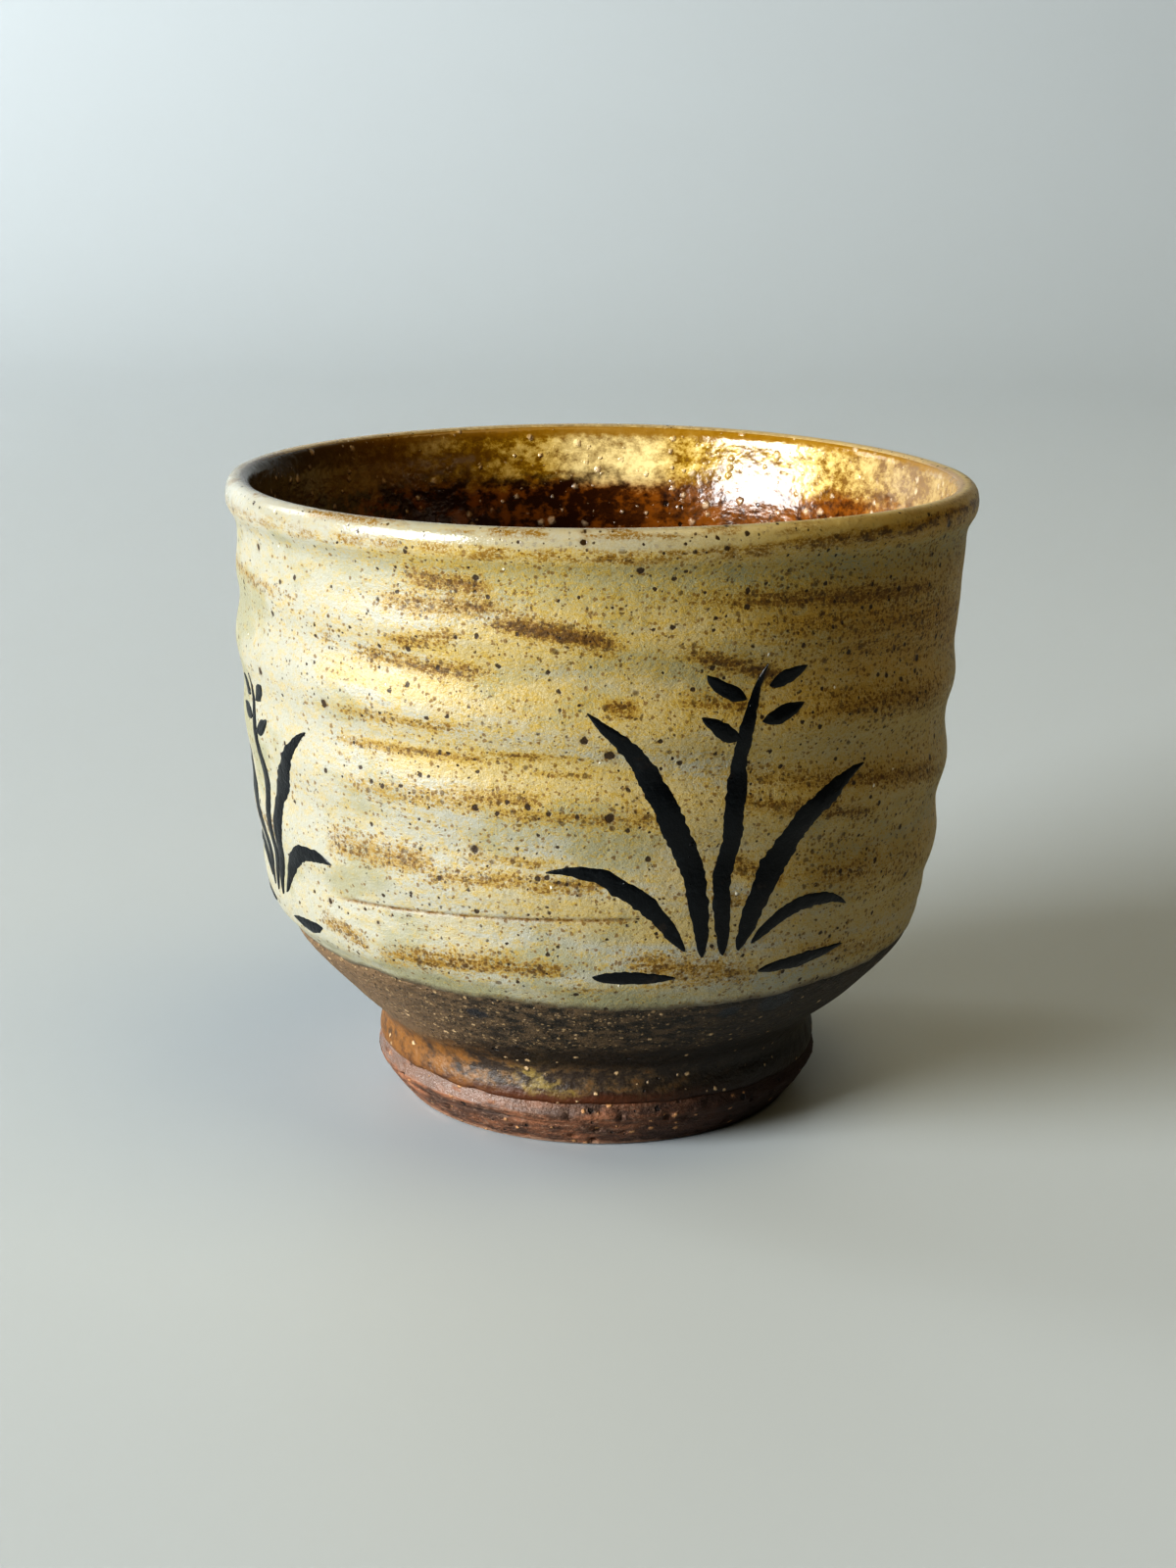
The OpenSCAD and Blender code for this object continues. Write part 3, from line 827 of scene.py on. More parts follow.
def amber_recipe():
    """Reddish brown and glossy, mottled gold for a finger's width under the lip, with pale grains of
    grog that stand up through it, painted brighter as painted glints. A pale patch on the far wall
    under the lip is painted light, and the left, away from the window, is painted shade."""
    glaze = Recipe("amber_iron_glaze")
    sag = glaze.clouds(9, 6, detail=3)
    mottle = glaze.clouds(1.7, 1.3, detail=4, rough=0.62)
    top = (glaze.z + (sag - 0.5) * 5 + (mottle - 0.5) * 5).above(*GOLD_RISE)
    deep = glaze.mix((mottle + (sag - 0.5) * 0.8).above(0.40, 0.62), AMBER_DEEP, AMBER_RED)
    flecks = glaze.clouds(1.5, 1.1, detail=4, rough=0.75, shift=5.0)
    gold = glaze.mix((flecks + (sag - 0.5) * 0.5).above(0.34, 0.68), AMBER_OCHRE, AMBER_GOLD)
    # A pale patch on the far wall under the lip, painted bright as painted light where the window
    # falls and reflects there
    glow = glaze.x.between(*GLOW_SPAN) * 0.9 + glaze.x.above(*GLOW_RIGHT_RISE) * 0.25
    glow = (glow + (sag - 0.5) * 2.0 + (flecks - 0.5) * 2.4).clamped() * glaze.y.above(*GLOW_FAR_RISE)
    gold = glaze.mix(glow * 0.9, gold, AMBER_BUFF)
    haze = glaze.clouds(9, 5, detail=3, shift=2.5).above(0.60, 0.68)
    haze = (haze + glaze.x.above(*HAZE_RISE) * 0.9).clamped()
    gold = glaze.mix(haze * 0.65, gold, AMBER_MAUVE)
    edge = (glaze.z + (mottle - 0.5) * 2.0).above(*SEAM_RISE)
    gold = glaze.mix(edge * 0.9, gold, AMBER_EDGE)
    # Painted shade: the golden band darker ochre at the left, away from the window
    gold = glaze.mix((1 - glaze.x.above(*OCHRE_SHADE_RISE)) * 0.75, gold, AMBER_OCHRE)
    warm = glaze.x.above(*WARM_RISE) * (flecks * 3.5 - 1.2).clamped()
    deep = glaze.mix(warm * 0.75, deep, AMBER_WARM)
    body = glaze.mix(top, deep, gold)
    # Painted shade: the lining dark grey at the left, which faces away from the window
    body = glaze.mix((1 - glaze.x.above(*SHADE_GREY_RISE)) * 0.85, body, AMBER_SHADE_GREY)
    grains = glaze.specks(*AMBER_GRAIN_SIZE, 0.40, soft=0.6, shift=2.0)
    fine_grains = glaze.specks(*AMBER_FINE_SIZE, 0.16, soft=0.6, shift=8.0)
    # Pale grog grains, painted brighter as painted glints where they catch the window
    body = glaze.mix((grains * 0.65 + fine_grains * 0.45).clamped(), body, AMBER_GRAIN_GLINT)
    pits = glaze.specks(*AMBER_PIT_SIZE, 0.14, soft=0.4, shift=7.0)
    body = glaze.mix(pits * 0.85, body, AMBER_PIT)
    heights = (
        grains * 0.18 + fine_grains * 0.06 - pits * 0.10
        + glaze.clouds(1.3, 1.1, detail=2) * 0.08 + glaze.clouds(2.8, 2.0, detail=2, shift=3.0) * 0.11
    )
    rough = 0.12 + glaze.clouds(1.2, detail=2) * 0.16
    return glaze.fire(body, rough, glaze.relief(heights), gloss=AMBER_GLOSS)


finish_piece(amber, amber_recipe(), "amber_iron_glaze", "amber_glaze")


# Cream glaze
# The ash glaze that the cup was dipped in, mouth down, up to the turn of the belly. It is
# satin and a little uneven, breaks ochre on the rings and the lip, and iron specks from the
# clay have bled through it.
CREAM_PALE = (0.36, 0.347, 0.28)
CREAM_BUFF = (0.425, 0.342, 0.168)
CREAM_GREY = (0.265, 0.25, 0.145)
GOLDEN = (0.425, 0.280, 0.030)
STREAK_OCHRE = (0.215, 0.112, 0.005)
OCHRE_BROWN = (0.145, 0.067, 0.001)
OCHRE_DARK = (0.060, 0.026, 0.001)
SIDE_OCHRE = (0.42, 0.235, 0.008)
INNER_OCHRE = (0.105, 0.052, 0.007)
INNER_BUFF = (0.30, 0.20, 0.10)
CREST_BUFF = (0.56, 0.45, 0.19)
FAR_BUFF = (0.52, 0.39, 0.18)
THIN_BROWN = (0.095, 0.068, 0.036)
IRON_SPECK = (0.030, 0.013, 0.002)
CREAM_GROG = (0.115, 0.062, 0.045)
CREAM_PINHOLE_GLINT = (0.86, 0.84, 0.74)
# Where iron was dragged along by the ribs of the hand: bearings and heights of both ends,
# half the height of the streak, and its strength
STREAKS = [
    (-29, 66.6, -15, 66.0, 1.3, 0.72), (-33, 63.5, -14, 64.0, 1.1, 0.72),
    (-15, 62.6, 3, 60.3, 1.1, 1.00), (-38, 57.8, -15, 57.2, 0.9, 0.85),
    (-32, 59.4, -20, 60.9, 0.8, 0.62), (-41, 51.5, -19, 51.4, 0.6, 0.60),
    (-43, 48.0, -4, 48.8, 0.5, 0.70), (1, 54.2, 6, 53.8, 0.9, 0.85),
    (-9, 47.0, -1, 46.8, 0.3, 0.50), (-16, 42.8, 12, 42.0, 0.8, 0.48),
    (-46, 59.1, -42, 58.9, 0.7, 0.45), (-46, 36.4, -25, 36.6, 1.5, 0.75),
    (-21, 37.5, -6, 37.6, 0.6, 0.45), (-27, 34.9, -8, 35.7, 0.9, 0.55),
    (-10, 34.7, 4, 35.6, 0.9, 0.60), (-50, 27.1, -39, 25.6, 1.0, 0.75),
    (-37, 24.9, -12, 26.1, 1.3, 0.80), (-21, 25.6, -4, 25.8, 0.8, 0.80),
    (-7, 22.9, 14, 24.2, 0.2, 0.60), (13, 65.0, 60, 62.9, 1.2, 0.55),
    (24, 62.8, 39, 59.9, 0.5, 0.50), (12, 59.7, 28, 56.3, 0.9, 0.95),
    (12, 55.1, 24, 53.5, 1.0, 0.55), (33, 53.4, 69, 50.2, 1.9, 0.45),
    (19, 46.9, 72, 41.3, 1.2, 0.50), (19, 44.3, 48, 40.0, 0.9, 0.65),
    (4, 43.4, 11, 41.9, 0.7, 0.55), (20, 37.4, 30, 35.0, 0.9, 0.70),
    (35, 33.9, 48, 34.0, 1.2, 0.60), (17, 34.0, 25, 32.7, 0.8, 0.70),
    (5, 26.8, 26, 24.4, 1.4, 0.70), (34, 26.0, 63, 22.5, 0.9, 0.45),
    (5, 24.2, 20, 24.1, 0.2, 0.50), (37, 59.0, 64, 56.0, 1.0, 0.40),
    (-40, 43.5, -7, 44.6, 1.2, 0.50), (22, 62.5, 78, 58.0, 4.0, 0.36),
    (30, 35.5, 70, 31.0, 3.0, 0.30),
]
# Behind, chance draws the streaks' bearings, lengths and heights, and then for each one how
# far it drops, half its height and its strength
BACK_STREAKS = 30
BACK_PLACES = [(84, 272), (16, 46), (23, 68)]
BACK_FORMS = [(-0.4, 2.2), (0.5, 2.0), (0.3, 0.85)]
STREAK_SEED = 11
STREAK_SPAN = (-0.15, 0.2, 0.8, 1.15)
STREAK_WANDER = 0.25
STREAK_WANDER_W = 6.0
STREAK_FLATNESS = (1, 1, 0.3)
STREAK_RAGGED = 0.2
STREAK_RAGGED_W = 2.0
# How many degrees before its start a streak is looked for
STREAK_LEAD = 110
# The fine line that is scored through the glaze, by the bearings and heights of its ends
LINE_DEPTH = 0.14
LINE_HALF_W = 0.20
LINE_FROM = (-44, 30.0)
LINE_TO = (8, 31.6)
LINE_SPAN = (LINE_FROM[0] - 2, LINE_FROM[0] + 2, LINE_TO[0] - 4, LINE_TO[0])
LINE_STEP = 0.13
LINE_BELOW = 0.5
LINE_ABOVE = 0.7
# The coat's ends: the low edge with its roll and its waves, and the seam inside the lip
CREAM_LOW_Z = 21.3
CREAM_EDGE_DEPTH = -0.26
CREAM_EDGE_H = 1.5
CREAM_SEAM_ROUND = 0.6
CREAM_SEAM_CLEAR = 0.8
CREAM_BACK_LAP = 0.05
CREAM_TUCK_BEFORE = 1
CREAM_TUCK_AFTER = 5
CREAM_STEP = 0.45
CREAM_SIDES = 440
ROLL_T = 0.05
ROLL_IN = 0.9
ROLL_HALF_W = 0.8
CREAM_EDGE_REACH = 3.6
CREAM_EDGE_UP = 0.25
CREAM_EDGE_SWING = 0.80
CREAM_EDGE_TURN = 0.1
CREAM_EDGE_LOBES = 0.40
CREAM_LOBES_TURN = 0.17
CREAM_EDGE_BAYS = 0.45
CREAM_EDGE_BAY_W = 5.0
CREAM_EDGE_RAGGED = 0.22
CREAM_EDGE_RAGGED_W = 1.6
INWARD_R = (-40.6, -40.0)
INWARD_Z = (70, 70.6)


def cream_edge_wave(turn, places):
    slow = -CREAM_EDGE_SWING * np.cos(turn - CREAM_EDGE_TURN)
    slow = slow - CREAM_EDGE_LOBES * np.cos(3 * (turn - CREAM_LOBES_TURN)) + CREAM_EDGE_UP
    bays = CREAM_EDGE_BAYS * grain_noise(places * FLAT, CREAM_EDGE_BAY_W, 6)
    return slow + bays + CREAM_EDGE_RAGGED * grain_noise(places * FLAT, CREAM_EDGE_RAGGED_W, 7)


def streak_amounts(turn, places):
    """How much iron each place got, from the table at the front and by chance at the back."""
    dice = np.random.default_rng(STREAK_SEED)
    streaks = list(STREAKS)
    drawn = [dice.uniform(low, high, BACK_STREAKS) for low, high in BACK_PLACES]
    for start, length, height in zip(*drawn):
        drop, half, strength = (dice.uniform(low, high) for low, high in BACK_FORMS)
        streaks.append((start, height, start + length, height - drop, half, strength))
    wander = STREAK_WANDER * grain_noise(places * STREAK_FLATNESS, STREAK_WANDER_W, 9)
    wander = wander + STREAK_RAGGED * grain_noise(places, STREAK_RAGGED_W, 10)
    amounts = np.zeros(len(places))
    for start, start_z, end, end_z, half, strength in streaks:
        along = ((turn - start + STREAK_LEAD) % 360 - STREAK_LEAD) / (end - start)
        apart = (places[:, 2] + wander - start_z - along * (end_z - start_z)) / half
        streak = strength * rise_and_fall(along, *STREAK_SPAN) * np.exp(-(apart**2))
        amounts = np.maximum(amounts, streak)
    return amounts


cream_start = reach_at(CREAM_LOW_Z)
cream_end = reach_at(LIP_SEAM_Z, "inside")
fine_from, fine_to = reach_at(LINE_FROM[1] - LINE_BELOW), reach_at(LINE_TO[1] + LINE_ABOVE)
cream_steps = np.concatenate([
    cream_start + np.array(EDGE_REACH),
    np.arange(cream_start + EDGE_CLEAR, fine_from, CREAM_STEP),
    np.arange(fine_from, fine_to, LINE_STEP),
    np.arange(fine_to, cream_end - CREAM_SEAM_CLEAR, CREAM_STEP),
    cream_end - np.array(EDGE_REACH[::-1]),
])
cream_top = round_ends(cream_steps, CREAM_EDGE_DEPTH, 0.0, start=EDGE_ROUND, end=CREAM_SEAM_ROUND)
cream_top += ROLL_T * np.exp(-(((cream_steps - cream_start - ROLL_IN) / ROLL_HALF_W) ** 2))
cream_line = line_at(cream_steps, cream_top)
back_steps = cream_steps[::-4]
back_full = ease(back_steps, cream_start - CREAM_TUCK_BEFORE, cream_start + CREAM_TUCK_AFTER)
cream_back = line_at(back_steps, -GLAZE_T * back_full - CREAM_BACK_LAP)
cream = lathe("cream_glaze_coat", np.concatenate([cream_line, cream_back]), CREAM_SIDES)
paint(cream, "low_edge", 1 - ease(places_of(cream)[:, 2], CREAM_LOW_Z, CREAM_LOW_Z + CREAM_EDGE_H))
cream_places = slide_edge(places_of(cream), CREAM_LOW_Z, CREAM_EDGE_REACH, cream_edge_wave)
cream_turn = bearings_of(cream_places)
cream_radius = np.hypot(cream_places[:, 0], cream_places[:, 1])
paint(cream, "iron", streak_amounts(cream_turn, cream_places))
paint(cream, "inward", ease(-cream_radius, *INWARD_R) * ease(cream_places[:, 2], *INWARD_Z))
line_share = np.clip((cream_turn - LINE_FROM[0]) / (LINE_TO[0] - LINE_FROM[0]), 0, 1)
line_z = LINE_FROM[1] + (LINE_TO[1] - LINE_FROM[1]) * np.sin(line_share * np.pi / 2)
scratch = np.exp(-(((cream_places[:, 2] - line_z) / LINE_HALF_W) ** 2))
scratch *= rise_and_fall(cream_turn, *LINE_SPAN)
paint(cream, "scratch", scratch)
cream_places[:, :2] *= (1 - scratch * LINE_DEPTH / cream_radius)[:, None]
put_back(cream, thrown(cream_places))


# From left to right
LEFT_RISE = (-40, -12)
RIGHT_RISE = (8, 32)
WARM_SIDE_RISE = (8, 30)
CREST_BUFF_RISE = (0, 24)
LIP_LEAN_RISE = (4, 26)
INNER_BUFF_RISE = (4, 34)
LIP_DULL_RISE = (-5, 25)
# From the front to the far side
BEHIND_RISE = (-36, -12)
FAR_RISE = (4, 18)
# By height
LOW_PALE_SPAN = (20.0, 21.0, 23.0, 24.2)
WARM_UP_RISE = (48, 58)
UNDER_RIM_SPAN = (62.5, 66.5, 68.0, 69.2)
LIP_GLOSS_RISE = (68.5, 70.0)
UNDER_LIP_SPAN = (68.6, 69.3, 69.7, 70.4)
LIP_PALE_RISE = (69.8, 70.6)
CREST_RISE = (70.9, 71.7)
FAR_CREST_RISE = (71.2, 71.6)
FINE_SIZE = (0.42, 0.18, 0.34)
DOT_SIZE = (0.72, 0.22, 0.48)
TINY_SIZE = (0.62, 0.10, 0.21)
SMALL_SIZE = (1.02, 0.15, 0.38)
LARGE_SIZE = (2.7, 0.34, 0.66)
HALO_SIZE = (2.7, 0.66, 1.15)
CREAM_GROG_SIZE = (4.2, 0.22, 0.50)
CREAM_PINHOLE_SIZE = (2.4, 0.14, 0.30)


def cream_recipe():
    """Cream at the left to golden buff at the right, partly painted shade on the right, grey green
    in patches, with iron dragged round the wall in streaks of fine grains, and specks that bled
    through. Painted light brightens the crest at the right, a painted highlight runs along the far
    crest, and the pinholes are painted glints."""
    glaze = Recipe("cream_ash_glaze")
    iron = glaze.painted("iron")
    # Paler at the left and more golden at the right: partly the glaze's own colour and partly painted
    # shade on the right, away from the window
    to_right = glaze.x.above(*LEFT_RISE) * 0.32 - 0.26 + glaze.x * 0.0022 + (glaze.z - 50) * 0.0034
    to_right = to_right + glaze.x.above(*RIGHT_RISE) * 0.13 + (glaze.z - 48).at_most(0) * 0.005
    grain = glaze.clouds(0.34, 0.26, detail=2, rough=0.8)
    lines = glaze.clouds(16, 0.60, slope=0.045, detail=4, rough=0.62)
    wide = glaze.clouds(24, 3.4, slope=0.05, detail=4, shift=5.0)
    patches = glaze.clouds(15, 8, slope=0.03, detail=3, shift=11.0)
    body = glaze.mix((wide + to_right).above(0.36, 0.60), CREAM_PALE, CREAM_BUFF)
    mottle = glaze.clouds(1.5, 0.8, detail=3, rough=0.7, shift=8.0)
    body = glaze.mix(mottle.above(0.45, 0.62) * 0.5, body, CREAM_BUFF)
    body = glaze.mix(grain.above(0.52, 0.72) * 0.35, body, CREAM_GREY)
    under_rim = glaze.z.between(*UNDER_RIM_SPAN) * (0.45 + to_right * 1.5).clamped()
    edge_pale = glaze.z.between(*LOW_PALE_SPAN) * 0.28
    grey = (patches.above(0.50, 0.64) * 0.65 + under_rim + edge_pale).clamped()
    body = glaze.mix(grey, body, CREAM_GREY)
    drag = iron * (0.85 + (lines - 0.5) * 1.6) + (lines - 0.5) * 0.75
    drag = drag + (wide - 0.5) * 0.35 + to_right * 1.2
    veil = drag * 1.1 + (mottle - 0.5) * 1.6 + (grain - 0.5) * 3.0
    body = glaze.mix(veil.above(-0.22, 0.70) * 0.72, body, GOLDEN)
    wash = iron * (1.0 + (grain - 0.5) * 3.0 + (mottle - 0.5) * 2.5 + (lines - 0.5) * 2.0) - 0.12
    body = glaze.mix(wash.clamped() * 0.8, body, STREAK_OCHRE)
    # Deeper ochre high on the right wall: partly the glaze's own colour and partly painted shade
    # there
    warm_side = glaze.x.above(*WARM_SIDE_RISE) * glaze.z.above(*WARM_UP_RISE) * (1 - under_rim)
    warm_side = (warm_side * (0.35 + (wide - 0.45) * 2.5 + (mottle - 0.5) * 1.5)).clamped()
    body = glaze.mix(warm_side * 0.7, body, SIDE_OCHRE)
    stipple = drag - to_right * 0.9
    fine = glaze.specks(*FINE_SIZE, (stipple * 0.85 + 0.13).clamped(), soft=0.4)
    dots = glaze.specks(*DOT_SIZE, (stipple * 0.75 + 0.02).clamped(), soft=0.4, shift=5.0)
    ochre = (fine * 0.8 + (drag * 1.5 + (grain - 0.5) * 4.0 - 0.85).clamped()).clamped()
    body = glaze.mix(ochre * 0.9, body, OCHRE_BROWN)
    body = glaze.mix(dots * 0.65, body, OCHRE_DARK)
    coarse = glaze.clouds(0.75, 0.6, detail=2, rough=0.7, shift=4.0)
    burnt = (iron * 1.6 + (coarse - 0.5) * 6.5 - 1.15).clamped()
    body = glaze.mix(burnt * 0.8, body, OCHRE_DARK)
    lip_height = glaze.z - glaze.x.above(*LIP_LEAN_RISE) * 0.9
    lip_height = lip_height + (glaze.clouds(6, 1.6, detail=4) - 0.5) * 1.8
    # The lip paler towards its top; on the right the crest is painted brighter buff as painted light,
    # where the window falls over the cup onto it
    crest_pale = glaze.mix(glaze.x.above(*CREST_BUFF_RISE), CREAM_PALE, CREST_BUFF)
    body = glaze.mix(lip_height.above(*LIP_PALE_RISE) * 0.6, body, crest_pale)
    blotch = glaze.clouds(2.4, 0.9, detail=4, rough=0.65, shift=6.0).above(0.42, 0.58)
    under_lip = lip_height.between(*UNDER_LIP_SPAN) * (0.65 + glaze.x * 0.009).clamped()
    under_lip = under_lip * (0.15 + blotch * 1.2)
    crest = glaze.z.above(*CREST_RISE) * glaze.clouds(7, 2, detail=4, shift=3.0).above(0.44, 0.56)
    crest = crest * (1 - glaze.x.above(*WARM_SIDE_RISE) * 0.7)
    lip_ochre = ((under_lip * 1.1 + crest * 0.9) * (0.9 + (grain - 0.5) * 5.5)).clamped()
    body = glaze.mix(lip_ochre * 0.9, body, STREAK_OCHRE)
    lip_burnt = under_lip * (glaze.x * 0.02 - 0.1) + (coarse - 0.5) * 6.0 * under_lip
    body = glaze.mix((lip_burnt - 0.2).clamped() * 0.8, body, OCHRE_DARK)
    # Painted highlight: a pale line along the far crest, where it mirrors the bright card behind
    far_crest = glaze.y.above(*FAR_RISE) * glaze.z.above(*FAR_CREST_RISE)
    body = glaze.mix(far_crest * 0.85, body, FAR_BUFF)
    inner = glaze.mix(glaze.x.above(*INNER_BUFF_RISE), INNER_OCHRE, INNER_BUFF)
    behind = 0.15 + glaze.y.above(*BEHIND_RISE) - far_crest * 0.9
    inward = (glaze.painted("inward") * (behind + (coarse - 0.5) * 1.6)).clamped()
    body = glaze.mix(inward, body, inner)
    low_edge = glaze.painted("low_edge")
    thin = (low_edge * 1.5 + (mottle - 0.5) * 1.4 - 0.3).clamped() * low_edge.above(0, 0.3)
    body = glaze.mix(thin * 0.9, body, THIN_BROWN)
    scratch = glaze.painted("scratch")
    body = glaze.mix((scratch * (0.75 + (coarse - 0.5) * 2.4)).clamped(), body, OCHRE_BROWN)
    tiny = glaze.specks(*TINY_SIZE, (0.34 + drag * 0.15).clamped(), soft=0.5)
    small = glaze.specks(*SMALL_SIZE, (0.25 + drag * 0.18).clamped(), soft=0.35, shift=3.0)
    large = glaze.specks(*LARGE_SIZE, 0.14, soft=0.25, shift=7.0)
    halo = glaze.specks(*HALO_SIZE, 0.14, soft=0.9, shift=7.0)
    body = glaze.mix(halo * 0.5, body, OCHRE_BROWN)
    body = glaze.mix((tiny * 0.8 + small * 0.95 + large * 0.95).clamped(), body, IRON_SPECK)
    grog = glaze.specks(*CREAM_GROG_SIZE, 0.10, soft=0.4, shift=9.0)
    body = glaze.mix(grog * 0.9, body, CREAM_GROG)
    pinholes = glaze.specks(*CREAM_PINHOLE_SIZE, 0.12, soft=0.5, shift=12.0)
    # Pinholes, painted near white as painted glints
    body = glaze.mix(pinholes * 0.8, body, CREAM_PINHOLE_GLINT)
    heights = (
        glaze.clouds(1.7, 1.4, detail=3) * 0.12 + grain * 0.07
        + glaze.clouds(0.8, 0.7, detail=2, shift=6.0) * 0.08
        + pinholes * 0.06 - large * 0.06 - small * 0.05 + grog * 0.10
    )
    lip = glaze.z.above(*LIP_GLOSS_RISE)
    rough = 0.38 + glaze.clouds(1.1, detail=2) * 0.16 + ochre * 0.15 + small * 0.1
    rough = rough - lip * (0.30 - glaze.x.above(*LIP_DULL_RISE) * 0.22)
    return glaze.fire(body, rough, glaze.relief(heights * (1 - lip * 0.6)))


finish_piece(cream, cream_recipe(), "cream_ash_glaze", "cream_glaze", smooth_angle=60)


# Brushed reeds
# Iron pigment, blue black where it lies thick, brushed on the raw glaze with a loaded brush
# in single strokes. It stands a little proud of the glaze and its edges are slightly ragged.
BRUSH_W = 3.3
CLUMP_W = 36.0
CLUMP_H = 31.0
CLUMP_Z = 27.0
PIGMENT_T = 0.16
PIGMENT_SUNK = 0.06
PIGMENT_BODY = 0.12
INK_BLACK = (0.0030, 0.0045, 0.0060)
INK_THIN = (0.009, 0.012, 0.014)
INK_RUST = (0.034, 0.022, 0.014)
INK_GLOSS = 0.35
BUBBLE_SIZE = (0.95, 0.08, 0.24)
# Root across and up, bend across and up, tip across and up, as shares of the clump's width
# and height, and the width as a share of the brush's
BLADE_SHARES = [
    (-0.04, 0.00, -0.10, 0.62, -0.40, 0.86, 0.95),
    (0.02, 0.00, -0.02, 0.55, 0.12, 1.00, 0.80),
    (0.07, 0.01, 0.17, 0.52, 0.50, 0.60, 1.00),
    (-0.09, 0.03, -0.26, 0.36, -0.50, 0.30, 0.70),
    (0.11, 0.03, 0.30, 0.24, 0.44, 0.10, 0.65),
]
DAB_SHARES = [
    (0.13, 0.92, 0.25, 0.98),
    (0.10, 0.82, 0.24, 0.86),
    (0.05, 0.88, -0.06, 0.98),
    (0.04, 0.76, -0.08, 0.84),
]
WATER_SHARES = [(-0.36, -0.05, -0.12, -0.08), (0.14, -0.09, 0.46, -0.05)]
DAB_W_SHARE = 0.62
WATER_W_SHARE = 0.55
DAB_SAG = 0.01
STROKE_START = 0.13
STROKE_END = 0.995
STROKE_BLUNT = 0.02
STROKE_FULLNESS = 0.7
STROKE_COLUMNS = 9
STROKE_STEP = 0.25
STROKE_LEAST_ROWS = 8
# The unevenness of a stroke, each with the length over which it changes: its two edges, its
# middle line and the thickness of the pigment, and what sets the two edges apart
EDGE_SWELL = 0.26
EDGE_SWELL_L = 3.2
EDGE_HAIR = 0.20
EDGE_HAIR_L = 0.65
WANDER = 0.8
WANDER_L = 7.0
BEADING = 0.5
BEADING_L = 2.0
EDGES_APART = 9


def brush_stroke(root, bend, tip, width, bearing, size, side, seed):
    """One stroke, laid on the wall: a strip that swells from its root and runs to a point."""
    spread = (CLUMP_W * size, CLUMP_H * size)
    a, b, c = (np.array(p, float) * spread for p in (root, bend, tip))
    length = np.linalg.norm(b - a) + np.linalg.norm(c - b)
    rows = max(STROKE_LEAST_ROWS, int(length / STROKE_STEP))
    bpy.ops.object.select_all(action="DESELECT")
    bpy.ops.mesh.primitive_grid_add(x_subdivisions=rows, y_subdivisions=STROKE_COLUMNS - 1, size=2)
    piece = bpy.context.active_object
    grid = places_of(piece) * MM
    t = (grid[:, 0] + 1) / 2
    v = grid[:, 1]
    middle = (1 - t)[:, None] ** 2 * a + (2 * (1 - t) * t)[:, None] * b + t[:, None] ** 2 * c
    run = (2 * (1 - t))[:, None] * (b - a) + (2 * t)[:, None] * (c - b)
    run /= np.linalg.norm(run, axis=1)[:, None]
    swell = np.sin(np.pi * (STROKE_START + (1 - STROKE_START) * t * STROKE_END)) ** STROKE_FULLNESS
    ends = np.sqrt(np.clip(1 - (1 - np.clip(t * length / width, 0, 1)) ** 2, STROKE_BLUNT, 1))
    along = np.stack([t * length, np.sign(v) * EDGES_APART, 0 * t], -1)
    ragged = 1 + EDGE_SWELL * grain_noise(along, EDGE_SWELL_L, seed)
    ragged = ragged + EDGE_HAIR * grain_noise(along, EDGE_HAIR_L, seed + 1)
    half = width / 2 * swell * ends * ragged
    wander = WANDER * grain_noise(along * (1, 0, 1), WANDER_L, seed + 3)
    flat = middle + (v * half + wander)[:, None] * np.stack([-run[:, 1], run[:, 0]], -1)
    height = CLUMP_Z + flat[:, 1]
    turn = bearing + side * flat[:, 0] / outer_radius(height)
    bead = 1 + BEADING * grain_noise(along, BEADING_L, seed + 2)
    proud = PIGMENT_T * bead * (1 - np.abs(v) ** 3) - PIGMENT_SUNK
    radius = outer_radius(height) + proud
    places = np.stack([radius * np.sin(turn), -radius * np.cos(turn), height], -1)
    put_back(piece, thrown(places))
    bpy.ops.object.mode_set(mode="EDIT")
    bpy.ops.mesh.select_all(action="SELECT")
    if side < 0:
        bpy.ops.mesh.flip_normals()
    bpy.ops.object.mode_set(mode="OBJECT")
    thickness = piece.modifiers.new("pigment", "SOLIDIFY")
    thickness.thickness = PIGMENT_BODY * MM
    thickness.offset = -1
    bpy.ops.object.modifier_apply(modifier=thickness.name)
    return piece


def reed_clump(name, bearing, size, side, seed):
    """All the strokes of one clump, joined into one piece."""
    strokes = []
    for i, (x0, y0, x1, y1, x2, y2, share) in enumerate(BLADE_SHARES):
        strokes.append(((x0, y0), (x1, y1), (x2, y2), share * BRUSH_W, seed + 10 * i))
    for i, (x0, y0, x2, y2) in enumerate(DAB_SHARES + WATER_SHARES):
        share = DAB_W_SHARE if y0 > 0 else WATER_W_SHARE
        bend = ((x0 + x2) / 2, (y0 + y2) / 2 - DAB_SAG)
        strokes.append(((x0, y0), bend, (x2, y2), share * BRUSH_W, seed + 100 + 10 * i))
    pieces = [brush_stroke(*s[:4], math.radians(bearing), size, side, s[4]) for s in strokes]
    bpy.ops.object.select_all(action="DESELECT")
    for piece in pieces:
        piece.select_set(True)
    bpy.context.view_layer.objects.active = pieces[0]
    bpy.ops.object.join()
    pieces[0].name = pieces[0].data.name = name
    return pieces[0]


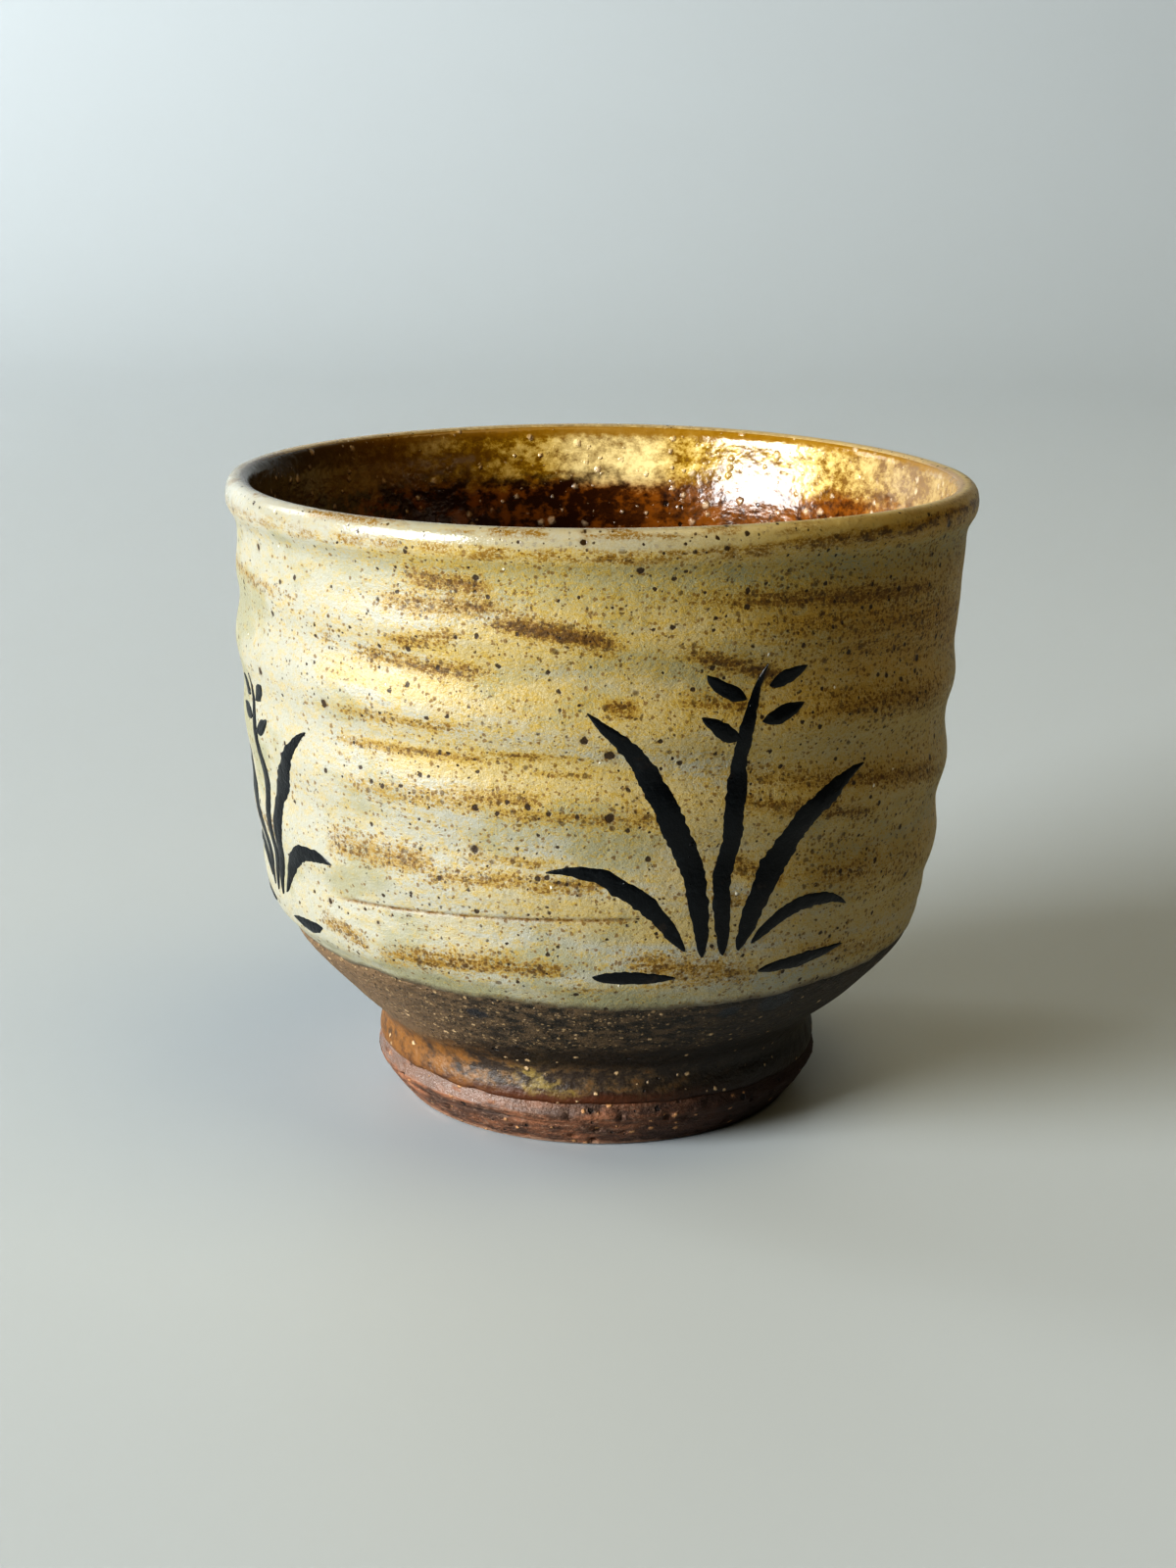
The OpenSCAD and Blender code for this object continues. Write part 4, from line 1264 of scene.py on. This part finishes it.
def pigment_recipe():
    """Blue black and satin where it is thick, browner and greyer where the brush ran dry."""
    ink = Recipe("iron_pigment")
    thin = ink.clouds(1.4, 1.0, detail=4).above(0.54, 0.74)
    body = ink.mix(thin, INK_BLACK, INK_THIN)
    rust = ink.clouds(2.6, detail=3, shift=5.0).above(0.62, 0.74)
    body = ink.mix(rust * 0.5, body, INK_RUST)
    bubbles = ink.specks(*BUBBLE_SIZE, 0.16, soft=0.7)
    heights = ink.clouds(0.55, detail=3, rough=0.65) * 0.10 + bubbles * 0.16
    rough = 0.34 + thin * 0.15 - bubbles * 0.22
    return ink.fire(body, rough, ink.relief(heights), gloss=INK_GLOSS)


pigment_finish = pigment_recipe()
# Node, bearing in degrees, size, which way it leans, and what sets its strokes apart
CLUMPS = [
    ("front_reeds", 19, 1, 1, 200),
    ("side_reeds", -66, 0.78, -1, 400),
    ("back_reeds", 158, 0.9, 1, 600),
]
for node, bearing, size, side, seed in CLUMPS:
    clump = reed_clump(node + "_brushed", bearing, size, side, seed)
    finish_piece(clump, pigment_finish, "iron_pigment", node, smooth_angle=60)


# Studio
# A plain pale sweep of card under and behind the cup, a large window at the left in front, a
# light on the card behind at the left, and a weak warm room light from above at the right.
# All of it is measured in metres, apart from the clouds on the card.
CARD = (0.513, 0.556, 0.577)
CARD_HALF_W = 1.6
CARD_FRONT = -1.2
CARD_BACK = 0.75
CARD_RISE = 0.9
CARD_TOP = 1.8
CARD_CURVE_STEPS = 24
CARD_CLOUD = 260
CARD_PALER = 1.03
CARD_ROUGH = 0.48
CARD_GLOSS = 0.3

bpy.ops.object.select_all(action="DESELECT")
bpy.ops.mesh.primitive_plane_add(size=2)
card = bpy.context.active_object
card.name = "card_sweep"
card.data.transform(Matrix.Diagonal((CARD_HALF_W, (CARD_BACK - CARD_FRONT) / 2, 1, 1)))
card.data.transform(Matrix.Translation((0, (CARD_BACK + CARD_FRONT) / 2, 0)))
bpy.ops.object.mode_set(mode="EDIT")
bpy.ops.mesh.select_mode(type="EDGE")
bpy.ops.mesh.select_all(action="DESELECT")
bpy.ops.object.mode_set(mode="OBJECT")
for edge in card.data.edges:
    edge.select = all(card.data.vertices[i].co.y > 0 for i in edge.vertices)
bpy.ops.object.mode_set(mode="EDIT")
bpy.ops.mesh.spin(
    steps=CARD_CURVE_STEPS, angle=-math.pi / 2, center=(0, CARD_BACK, CARD_RISE), axis=(1, 0, 0)
)
bpy.ops.mesh.extrude_region_move(TRANSFORM_OT_translate={"value": (0, 0, CARD_TOP)})
bpy.ops.object.mode_set(mode="OBJECT")
bpy.ops.object.shade_smooth()
card_finish = Recipe("pale_card")
card_cloud = card_finish.clouds(CARD_CLOUD, detail=2)
card_colour = card_finish.mix(card_cloud, CARD, tuple(c * CARD_PALER for c in CARD))
card.data.materials.append(card_finish.fire(card_colour, CARD_ROUGH, gloss=CARD_GLOSS))


LIGHT_AIM = Vector((0, 0, 0.04))
WINDOW = {
    "place": (-1.47, -0.885, 0.57), "size": (1.05, 0.62), "power": 52,
    "colour": (0.96, 0.985, 1.0),
}
BACKDROP_LIGHT = {
    "place": (-1.6, 0.8, 1.0), "size": (0.9, 0.7), "power": 8.6,
    "colour": (0.95, 0.98, 1.0), "aim": Vector((0.2, 1.6, 0)),
}
BACKDROP_SPREAD = math.radians(110)
ROOM_LIGHT = {
    "place": (0.50, -0.20, 1.35), "size": (1.0, 1.0), "power": 5.3,
    "colour": (1.0, 0.80, 0.46),
}
ROOM_GLOW = (1.0, 0.80, 0.50, 1)
ROOM_GLOW_STRENGTH = 0.02


def soft_light(name, place, size, power, colour, aim=LIGHT_AIM):
    """A rectangular light, which faces the cup unless it is aimed elsewhere."""
    bpy.ops.object.light_add(type="AREA", location=place)
    light = bpy.context.active_object
    light.name = name
    light.rotation_euler = (aim - Vector(place)).to_track_quat("-Z", "Y").to_euler()
    light.data.shape = "RECTANGLE"
    light.data.size, light.data.size_y = size
    light.data.energy = power
    light.data.color = colour
    return light


soft_light("window", **WINDOW)
backdrop_light = soft_light("backdrop_light", **BACKDROP_LIGHT)
backdrop_light.data.spread = BACKDROP_SPREAD
soft_light("room", **ROOM_LIGHT)

world = bpy.data.worlds.new("room")
world.use_nodes = True
background = world.node_tree.nodes["Background"]
background.inputs["Color"].default_value = ROOM_GLOW
background.inputs["Strength"].default_value = ROOM_GLOW_STRENGTH
bpy.context.scene.world = world
bpy.context.scene.view_settings.view_transform = "Standard"
bpy.context.scene.view_settings.look = "High Contrast"
